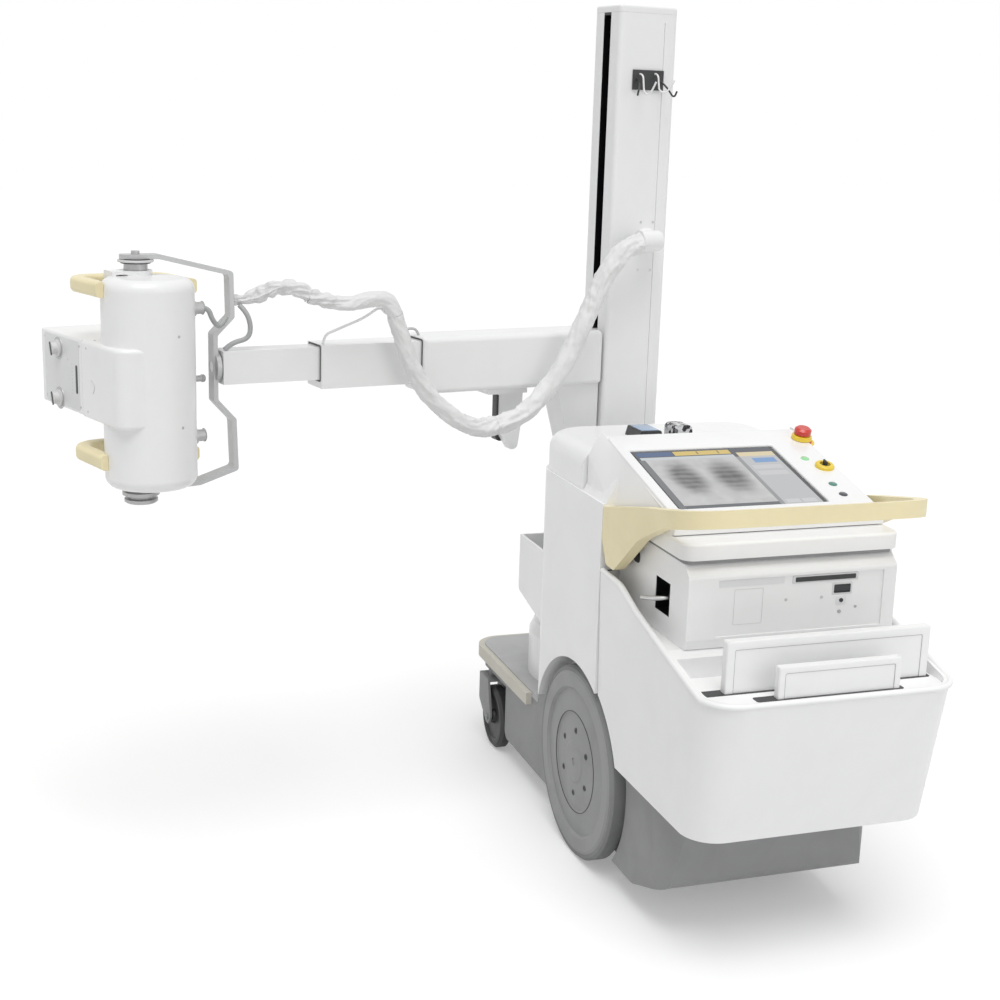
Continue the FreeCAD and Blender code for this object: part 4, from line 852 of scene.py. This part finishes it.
# %% Collimator details
LEFT = (-1, 0, 0)
left = heading("head", *LEFT)
plate("turn_gasket", rounded(203, 165, 12), 3.6, seat("head", (0, 55.2, 1100), (0, 1, 0)), "dark_plastic",
      "tube_head")
plate("side_panel", rounded(186, 150, 6), 0.8, seat("head", (-99, 172, 1100), LEFT),
      moulded("panel_film", (0.74, 0.745, 0.75), rough=0.3, coat=0.2), "collimator", soft=0.4)
plate("slot_display", rounded(9, 62, 4.2), 1.0, seat("head", (-99.7, 92, 1092), LEFT), "dark_plastic",
      "collimator", soft=0.4)
for index, z in enumerate((1038, 1148), start=1):
    plate("knob_pointer_%d" % index, rounded(7, 30, 2), 1.0,
          seat("head", (-117.2, 188, z), LEFT, heading("head", 0, 0.3, 1)),
          "dark_plastic", "collimator", soft=0.4)
    lathe("knob_ring_%d" % index, [(19.4, 0), (25, 0), (24.4, 1.2), (19.4, 1.4)],
          seat("head", (-99.6, 188, z), LEFT), "yoke_grey", "collimator")
ticks = [(spot("head", -99.8, 116, 1058 + 8 * k), left) for k in range(9)]
set_screws("scale_ticks", ticks, 1.3, 0.3, "yoke_grey", "collimator", seed=3)
set_screws("side_screws", [(spot("head", -99.6, y, z), left) for y, z in (
    (262, 1166), (262, 1034), (76, 1166), (76, 1034), (138, 1130))], 2.4, 0.9, "steel", "collimator")
set_screws("port_screws", [
    (spot("head", x, y, 1184), (0, 0, 1)) for x, y in ((-84, 28), (84, 28), (84, -30))] + [
    (spot("head", -103, 30, z), left) for z in (1168, 1032)], 3.0, 0.9, "steel", "tube_head")
set_screws("tube_screws", [seen_at("tube_housing", 179, 337), seen_at("tube_housing", 183, 428)], 3.2, 0.9,
           "steel", "tube_head")
lathe("rest_peg", [(0, 0), (11, 0), (11, 3), (7, 5), (7, 48), (8.5, 49), (8.5, 54), (7, 56), (0, 56)],
      seat("head", (94, -12, 1092), (1, 0, 0)), "yoke_grey", "tube_head")
lathe("low_pivot", [(0, 0), (32, 0), (36, 3), (36, 9), (27, 11), (27, 17), (40, 18), (40, 25), (0, 25)],
      lying(HEAD_AT.x, HEAD_AT.y, 0.829), "yoke_grey", "yoke")
# the turning joint at the top: a bright washer between two dark rings
for name, low, high, wide, finish in (("top_ring_low", 1346, 1349, 31, "dark_plastic"),
                                      ("top_ring_wide", 1349, 1354, 37, "pale_grey"),
                                      ("top_ring_high", 1354, 1356, 31, "dark_plastic")):
    lathe(name, [(23.5, 0), (wide, 0), (wide + 1, (high - low) / 2), (wide, high - low), (23.5, high - low)],
          lying(HEAD_AT.x, HEAD_AT.y, low * MM), finish, "yoke")
rod("port_mark", [spot("head", -103.2, y, z) for y, z in ((8, 1103), (-8, 1098), (-9, 1084), (1, 1076))],
    1.0, "pale_grey", "tube_head")
print("tube head details are on")

# %% Two grey leads at the yoke
LEAD_WIDE = 11 * MM
LEAD_GREY = moulded("lead_grey", (0.42, 0.425, 0.43), rough=0.45, grain=1200.0)


def lead(name, places):
    """A thin grey cable between two bodies that one joint joins."""
    line, length = route_line(name, [spot(*place) for place in places], 4 * MM)
    mesh, _ = sleeve_mesh(name, line, 0.0, (LEAD_WIDE, LEAD_WIDE), Vector((0, 1, 0)), plain=True)
    piece = add_piece(name, mesh, LEAD_GREY)
    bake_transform(piece)
    print(name, "is", round(length, 3), "m long")


lead("lead_head", [
    ("head", 125, -55, 1252), ("head", 140, -56, 1250), ("head", 146, -58, 1228),
    ("mast", -1058, -26, 1208), ("mast", -1046, -24, 1216), ("mast", -1036, -18, 1228)])
lead("lead_arm", [
    ("mast", -1004, -12, 1252), ("mast", -992, -26, 1238), ("mast", -984, -30, 1206),
    ("mast", -990, -28, 1180), ("mast", -1024, -18, 1172), ("mast", -1040, -14, 1156)])

# %% [markdown]
# ## The console
# A raised bezel frames the glass, and two flanks run from it down to the body. The picture on the
# glass is made by a shader: a dark bar with blue and amber tabs, a grey image of soft shapes, and
# a pale column of controls at its right.

# %% Console plane and bezel
CONSOLE_RISE = math.atan((990 - 893) / (400 - 4))
console_up = Vector((0, math.cos(CONSOLE_RISE), math.sin(CONSOLE_RISE)))
console_out = Vector((0, -math.sin(CONSOLE_RISE), math.cos(CONSOLE_RISE)))
CONSOLE_EDGE = Vector((0, -0.004, 0.990))


def on_console(x, back, high=0.0):
    """A point in metres: x across, back down the slope from the upper edge, high above it."""
    return CONSOLE_EDGE + Vector((x * MM, 0, 0)) - console_up * back * MM + console_out * high * MM


def slope_seat(x, back, high=0.0):
    """A matrix that lies on the console's slope."""
    return facing(on_console(x, back, high), console_out, console_up)


SCREEN_MIDDLE, BEZEL_BACK = (-37, 223), 200
opening = [(x + SCREEN_MIDDLE[0], y + BEZEL_BACK - SCREEN_MIDDLE[1]) for x, y in rounded(342, 274, 5)]
plate("console_bezel", rounded(466, 384, 22), 7.0, slope_seat(0, BEZEL_BACK), "cover_white", soft=4.0,
      hole=opening)
print("the bezel has", len(opening), "corners round its opening")

# %% Flanks between the console and the body
# places along the machine, then how far out and how high the flank's lower edge runs
FLANK_Y = (0.010, -0.030, -0.080, -0.120, -0.200, -0.390)
FLANK_OUT = (0.262, 0.264, 0.262, 0.249, 0.246, 0.240)
FLANK_HIGH = (0.948, 0.930, 0.896, 0.878, 0.871, 0.868)
CONSOLE_SIDE, FLANK_FOOT, FLANK_STEPS = 0.2335, 0.860, 40


def flank(name, sign):
    """A smooth facet that runs from the edge of the bezel down to the body."""
    vertices, faces = [], []
    for y in np.linspace(FLANK_Y[0], FLANK_Y[-1], FLANK_STEPS + 1):
        far_out = np.interp(-y, [-v for v in FLANK_Y], FLANK_OUT)
        high = np.interp(-y, [-v for v in FLANK_Y], FLANK_HIGH)
        edge = CONSOLE_EDGE.z + min(0.0, y - CONSOLE_EDGE.y) * math.tan(CONSOLE_RISE) + 0.004
        middle_out, middle_high = (far_out + CONSOLE_SIDE) / 2 + 0.002, (high + edge) / 2 + 0.002
        vertices += [(sign * CONSOLE_SIDE, y, FLANK_FOOT), (sign * far_out, y, FLANK_FOOT),
                     (sign * far_out, y, high - 0.006), (sign * (far_out - 0.001), y, high),
                     (sign * middle_out, y, middle_high), (sign * CONSOLE_SIDE, y, edge)]
    ring = 6
    for i in range(FLANK_STEPS):
        for k in range(ring):
            a, b = i * ring + k, i * ring + (k + 1) % ring
            faces.append((a, b, b + ring, a + ring)[::int(sign)])
    faces.append(tuple(range(ring))[::-int(sign)])
    faces.append(tuple(FLANK_STEPS * ring + k for k in range(ring))[::int(sign)])
    finish_piece(name, new_mesh(name, vertices, faces, 40), Matrix(), "cover_white")


flank("flank_left", -1)
flank("flank_right", 1)
# a grey plate paints the shade in the gap between the lid and the drawer unit
plate("lid_gap_shade", rounded(466, 322, 14), 9.4, lying(0, -0.292, 0.8223), "base_grey")
print("the flanks are on")

# %% The picture on the screen
def rect_mask(tree, axes, left_edge, low, right_edge, high):
    """1 inside a rectangle in millimetres on the screen."""
    return box_mask(tree, axes, ((left_edge + right_edge) / 2, (low + high) / 2),
                    (abs(right_edge - left_edge) / 2, abs(high - low) / 2))


def screen_picture():
    material, tree, shader = new_material("screen_picture", Emission_Strength=0.75,
                                          Base_Color=(0.02, 0.02, 0.022, 1))
    local = add_node(tree, "Mapping", {"vector_type": "TEXTURE"}, Vector=own_place(tree),
                     Location=on_console(*SCREEN_MIDDLE), Rotation=(CONSOLE_RISE, 0, 0)).outputs[0]
    u, v, _ = axes = add_node(tree, "SeparateXYZ", Vector=local).outputs
    soft = add_node(tree, "TexNoise", Vector=local, Scale=26.0, Detail=3.0, Distortion=0.6)
    ribs = add_node(tree, "TexWave", {"bands_direction": "Y"}, Vector=local, Scale=15.0,
                    Distortion=2.5, Detail=1.0)
    # two dark lobes about a pale middle, in millimetres from the middle of the glass
    lobes = 0.0
    for middle_u, middle_v, wide, tall in ((-92, 4, 46, 92), (8, 2, 50, 88)):
        across = maths(tree, "DIVIDE", maths(tree, "SUBTRACT", u, middle_u * MM), wide * MM)
        along = maths(tree, "DIVIDE", maths(tree, "SUBTRACT", v, middle_v * MM), tall * MM)
        far = maths(tree, "SQRT", maths(tree, "ADD", maths(tree, "MULTIPLY", across, across),
                                        maths(tree, "MULTIPLY", along, along)))
        lobe = add_node(tree, "MapRange", {"interpolation_type": "SMOOTHSTEP"}, i0=far, i1=0.3,
                        i2=1.12, i3=1.0, i4=0.0).outputs[0]
        lobes = lobe if isinstance(lobes, float) else maths(tree, "MAXIMUM", lobes, lobe)
    rib = maths(tree, "MULTIPLY", maths(tree, "MULTIPLY", ribs.outputs["Fac"], lobes), 0.13)
    grey = maths(tree, "ADD", maths(tree, "ADD", maths(tree, "MULTIPLY", lobes, -0.62), rib),
                 maths(tree, "MULTIPLY_ADD", soft.outputs[0], 0.35))
    grey.node.inputs[1].default_value = 1.0
    colour = ramp(tree, grey, (0.0, (0.04, 0.04, 0.04, 1)), (1.0, (0.86, 0.86, 0.86, 1)))
    # left, low, right, high in millimetres from the middle of the glass, then the colour
    areas = [(-167, 92, 167, 133, (0.05, 0.06, 0.08)), (-160, 108, -78, 128, (0.03, 0.09, 0.24)),
             (-74, 108, 60, 128, (0.75, 0.55, 0.12)), (-20, 112, -16, 126, (0.3, 0.2, 0.05)),
             (30, 112, 34, 126, (0.3, 0.2, 0.05)), (-160, 92, 62, 104, (0.62, 0.66, 0.68)),
             (-167, -133, -152, 92, (0.16, 0.17, 0.18)), (62, -133, 72, 92, (0.30, 0.31, 0.32)),
             (-152, -133, 62, -120, (0.10, 0.11, 0.12)), (72, -133, 160, 100, (0.55, 0.56, 0.57)),
             (72, 92, 160, 112, (0.80, 0.68, 0.42)), (96, 60, 150, 82, (0.16, 0.34, 0.66)),
             (80, 30, 150, 48, (0.64, 0.64, 0.65)), (80, 0, 150, 20, (0.64, 0.64, 0.65)),
             (80, -128, 112, -112, (0.66, 0.67, 0.68)), (118, -128, 150, -112, (0.66, 0.67, 0.68)),
             (160, -133, 167, 133, (0.02, 0.022, 0.025))]
    for *edges, shade in areas:
        colour = painted(tree, colour, shade, rect_mask(tree, axes, *edges))
    feed(shader, "Emission Color", colour)
    marks = group_node(tree, handling, Smear_per_metre=18.0)
    feed(shader, "Roughness", maths(tree, "ADD", maths(tree, "MULTIPLY", marks.outputs["Smear"], 0.10), 0.12))
    return material


plate("screen_image", rounded(334, 266, 2), 0.3, slope_seat(*SCREEN_MIDDLE, 3.1), screen_picture())
print("the screen shows a generic picture")

# %% Buttons and lights on the console
STOP, KEY = (222, 62), (204, 206)
lathe("stop_plate", [(24.3, 0), (31, 0), (30.4, 1.6), (24.3, 1.8)], slope_seat(*STOP, 0.3), "key_yellow")
lathe("stop_collar", [(20.4, 8.1), (23.5, 8.1), (22, 16), (16, 18.2), (11.3, 18.4), (11.3, 8.1)],
      slope_seat(*STOP), "key_yellow")
lathe("key_lock", [(0, 0.3), (11.6, 0.3), (11.6, 9), (10, 10.5), (0, 10.5)], slope_seat(*KEY), "steel")
plate("key_bit", rounded(4, 17, 1.5), 12, slope_seat(*KEY, 10.6), "dark_plastic", soft=1.0)
LIGHTS = [("light_green", 804.3, 461.5, (0.30, 0.72, 0.34)), ("light_teal", 832.2, 487, (0.05, 0.22, 0.17)),
          ("light_dark", 842.6, 497.2, (0.03, 0.035, 0.05))]
for name, px, py, colour in LIGHTS:
    place, _ = seen_at("console", px, py)
    lathe(name, [(0, 0), (9.5, 0), (9.3, 1.0), (7.5, 2.0), (0, 2.3)],
          facing(place + console_out * 0.007, console_out, console_up),
          moulded(name, colour, rough=0.2, coat=0.5), sides=32)
remote_low, remote_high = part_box("remote")
remote_middle = [(a + b) / 2 for a, b in zip(remote_low, remote_high)]
plate("remote_top", rounded(44, 68, 5), 1.4, lying(*remote_middle[:2], remote_high[2] - 0.0002),
      moulded("remote_film", (0.30, 0.42, 0.60), rough=0.25, coat=0.4), soft=0.6)
print("console details are on")

# %% [markdown]
# ## The rear
# The bin has a soft rolled rim. The drawer unit carries a reader slot with painted shade in it, a
# small display and a few buttons on a sunk panel. The two flat detector panels have raised white
# frames with a grey line inside them, and stand in slots whose shade is painted as dark plates.

# %% Rolled rim of the bin
def rim_height(y):
    """The bin's rim above a place on its wall, read off the solid from above."""
    hit, place, _, _ = NODES["rear_bin"].ray_cast(Vector((-0.272, y, 2.0)), Vector((0, 0, -1)))
    return place.z if hit else RIM_HIGH


HALF_BIN, REAR_BIN, BIN_CORNER, WALL, RIM_HIGH = 0.2773, -0.6864, 0.074, 0.010, 0.610
inner_half, inner_rear = HALF_BIN - WALL / 2, REAR_BIN + WALL / 2
path = [(-inner_half, y, rim_height(y)) for y in np.linspace(-0.127, inner_rear + BIN_CORNER, 22)]
radius = BIN_CORNER - WALL / 2
for k in range(1, 9):
    angle = math.pi / 2 * k / 8
    path.append((-inner_half + radius * (1 - math.cos(angle)), inner_rear + radius * (1 - math.sin(angle)),
                 RIM_HIGH))
path += [(-x, y, z) for x, y, z in path[::-1]]
rod("bin_rim", [(x, y, z - 0.0025) for x, y, z in path], 6.6, "cover_white")
print("the rim bead has", len(path), "points")

# %% Detector frames
def frame_panel(node, inset):
    low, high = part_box(node)
    middle = ((low[0] + high[0]) / 2, low[1], (low[2] + high[2]) / 2)
    wide, tall = (high[0] - low[0]) / MM, (high[2] - low[2]) / MM
    out = facing(middle, (0, -1, 0))
    plate(node + "_frame", rounded(wide - 2, tall - 2, 6), 1.6, out, "cover_white", soft=0.8,
          hole=rounded(wide - inset, tall - inset, 4))
    plate(node + "_line", rounded(wide - inset, tall - inset, 4), 0.4, out, "yoke_grey",
          hole=rounded(wide - inset - 3, tall - inset - 3, 3))


frame_panel("detector_large", 34)
frame_panel("detector_small", 26)

# dark plates of painted shade in the insert's slots round the panels' feet
for name, x0, x1, y0, y1 in (("slot_large", -250, 252, -597, -567), ("slot_small", -160, 162, -646, -620)):
    plate(name, rounded(x1 - x0, y1 - y0, 6), 0.8, lying((x0 + x1) / 2 * MM, (y0 + y1) / 2 * MM, 0.600),
          "dark_plastic")
# a short dark line of painted shadow under the push bar's root
root_shadow_line = [seen_at("body_cover", px, py)[0] for px, py in ((603, 571), (611, 570), (619, 569))]
rod("root_shadow_line", root_shadow_line, 1.3, "dark_plastic")

# %% Drawer unit details
PANEL_Y, FACE_OUT = -0.469, (0, -1, 0)
panel_white = moulded("panel_white", (0.80, 0.805, 0.81), rough=0.42)


def on_unit(name, x0, x1, z0, z1, thick, finish, soft=0.5, corner=2.0, rim=0.0):
    """A small plate on the sunk panel, between two X and two Z places in millimetres."""
    at = facing(((x0 + x1) / 2 * MM, PANEL_Y, (z0 + z1) / 2 * MM), FACE_OUT)
    wide, tall = x1 - x0, z1 - z0
    plate(name, rounded(wide, tall, corner), thick, at, finish, soft=soft,
          hole=rounded(wide - rim, tall - rim, corner - 1) if rim else None)


# name, left, right, low, high, thickness, finish, edge, corner, rim
for row in (("reader_bezel", -4, 146, 774, 790, 1.8, "pale_grey", 0.8),
            # the reader slot is a dark plate of painted shade
            ("reader_slot_shade", 2, 140, 777, 787, 2.2, "dark_plastic", 0.3),
            ("small_display", 92, 130, 748, 766, 1.6, "screen_glass"),
            ("small_display_bezel", 88, 134, 744, 770, 1.0, "pale_grey"),
            ("key_pad", 98, 122, 722, 742, 1.2, panel_white),
            ("service_door", -132, -68, 696, 770, 0.5, "pale_grey", 0.0, 3.0, 2.4),
            ("blank_band", -166, -22, 776, 790, 0.6, panel_white, 0.5, 1.5)):
    on_unit(*row)
for name, place, foot, top, finish in (
        ("pad_button", (0.110, PANEL_Y - 0.0012, 0.732), 4.5, 4.2, "dark_plastic"),
        ("lower_button", (0.108, PANEL_Y, 0.708), 4.0, 3.8, "yoke_grey")):
    lathe(name, [(0, 0), (foot, 0), (top, 1.6), (0, 1.9)], facing(place, FACE_OUT), finish, sides=24)
set_screws("unit_screws", [((x * MM, PANEL_Y, z * MM), FACE_OUT) for x, z in (
    (-16, 741), (65, 741), (145, 716))], 3.2, 1.2, "steel")
notch, notch_out = seen_at("drawer_unit", 637, 556)
plate("side_notch", rounded(34, 26, 11), 1.2, facing(notch, notch_out), "dark_plastic", soft=0.5)
print("drawer unit details are on")

# %% [markdown]
# ## Wheels
# Six dark plugs sit in each drive wheel, and a thin dark ring round its disc paints the shade of a groove.

# %% Wheel details
WHEEL_FACE, WHEEL_HIGH, PLUG_RING = 0.271, 0.225, 0.076
for side_name, sign in (("left", -1), ("right", 1)):
    body, out = "wheel_" + side_name, Vector((sign, 0, 0))
    turns = [math.radians(30 + 60 * i) for i in range(6)]
    plugs = [(((WHEEL_FACE - 0.004) * sign, PLUG_RING * math.cos(a),
               WHEEL_HIGH + PLUG_RING * math.sin(a)), out) for a in turns]
    set_screws("wheel_plugs_" + side_name, plugs, 7.0, 3.0, "dark_plastic", body)
    # a thin dark ring paints the shade of the groove round the disc
    lathe("wheel_groove_shade_" + side_name, [(117, 0), (119, 0), (119, 1.0), (117, 1.0)],
          facing(((WHEEL_FACE - 0.0032) * sign, 0, WHEEL_HIGH), out), "dark_plastic", body, sides=96)
print("wheel details are on")

# %% [markdown]
# ## The studio
# A white paper floor runs out to the horizon under a white sky. Both are brighter for the rays
# that show them than for what they light. A broad sun from nearly overhead gives the soft shadow,
# and a large lamp to the camera's right opens the rear faces.

# %% Floor
FLOOR_REACH = 30.0
floor_mesh = bpy.data.meshes.new("floor")
floor_mesh.from_pydata([(-FLOOR_REACH, -FLOOR_REACH, 0), (FLOOR_REACH, -FLOOR_REACH, 0),
                        (FLOOR_REACH, FLOOR_REACH, 0), (-FLOOR_REACH, FLOOR_REACH, 0)], [], [(0, 1, 2, 3)])
floor = add_piece("floor", floor_mesh)
material, tree, shader = new_material("floor_paper", Base_Color=(0.76, 0.76, 0.76, 1), Roughness=1.0,
                                      Specular_IOR_Level=0.0, Emission_Color=(1, 1, 1, 1))
paper = add_node(tree, "TexNoise", Scale=900.0, Detail=2.0)
relief(tree, shader, 0.3, 0.0001, paper.outputs[0])


def seen_rays(tree):
    """1 for rays that show the backdrop: the camera's, and those off metal and through glass."""
    rays = add_node(tree, "LightPath")
    mirrored = maths(tree, "MAXIMUM", rays.outputs["Is Camera Ray"], rays.outputs["Is Glossy Ray"])
    return maths(tree, "MAXIMUM", mirrored, rays.outputs["Is Transmission Ray"])


FLOOR_GLOW, SKY_SEEN, SKY_LIGHT = 0.28, 1.0, 0.50
feed(shader, "Emission Strength", maths(tree, "MULTIPLY", seen_rays(tree), FLOOR_GLOW))
floor_mesh.materials.append(material)

# %% World and lamps
world = bpy.data.worlds.new("studio")
world.use_nodes = True
bpy.context.scene.world = world
tree = world.node_tree
background = tree.nodes["Background"]
strength = add_node(tree, "MapRange", i0=seen_rays(tree), i1=0.0, i2=1.0, i3=SKY_LIGHT, i4=SKY_SEEN)
tree.links.new(strength.outputs[0], background.inputs["Strength"])
background.inputs["Color"].default_value = (1, 1, 1, 1)


def add_lamp(name, kind, place, look, **settings):
    """A lamp at a place that shines along a direction."""
    data = bpy.data.lights.new(name, kind)
    for key, value in settings.items():
        setattr(data, key, value)
    lamp = bpy.data.objects.new(name, data)
    lamp.location, lamp.rotation_euler = place, Vector(look).to_track_quat("-Z", "Y").to_euler()
    bpy.context.scene.collection.objects.link(lamp)


add_lamp("sun", "SUN", (0, 0, 0), (0.12, 0.33, -0.93), energy=1.62, angle=math.radians(40))
add_lamp("rear_lamp", "AREA", (1.6, -3.9, 2.2), (-1.6, 3.9, -1.5), size=2.4, energy=20)
bpy.context.scene.view_settings.view_transform = "Standard"
print("lamps are set")
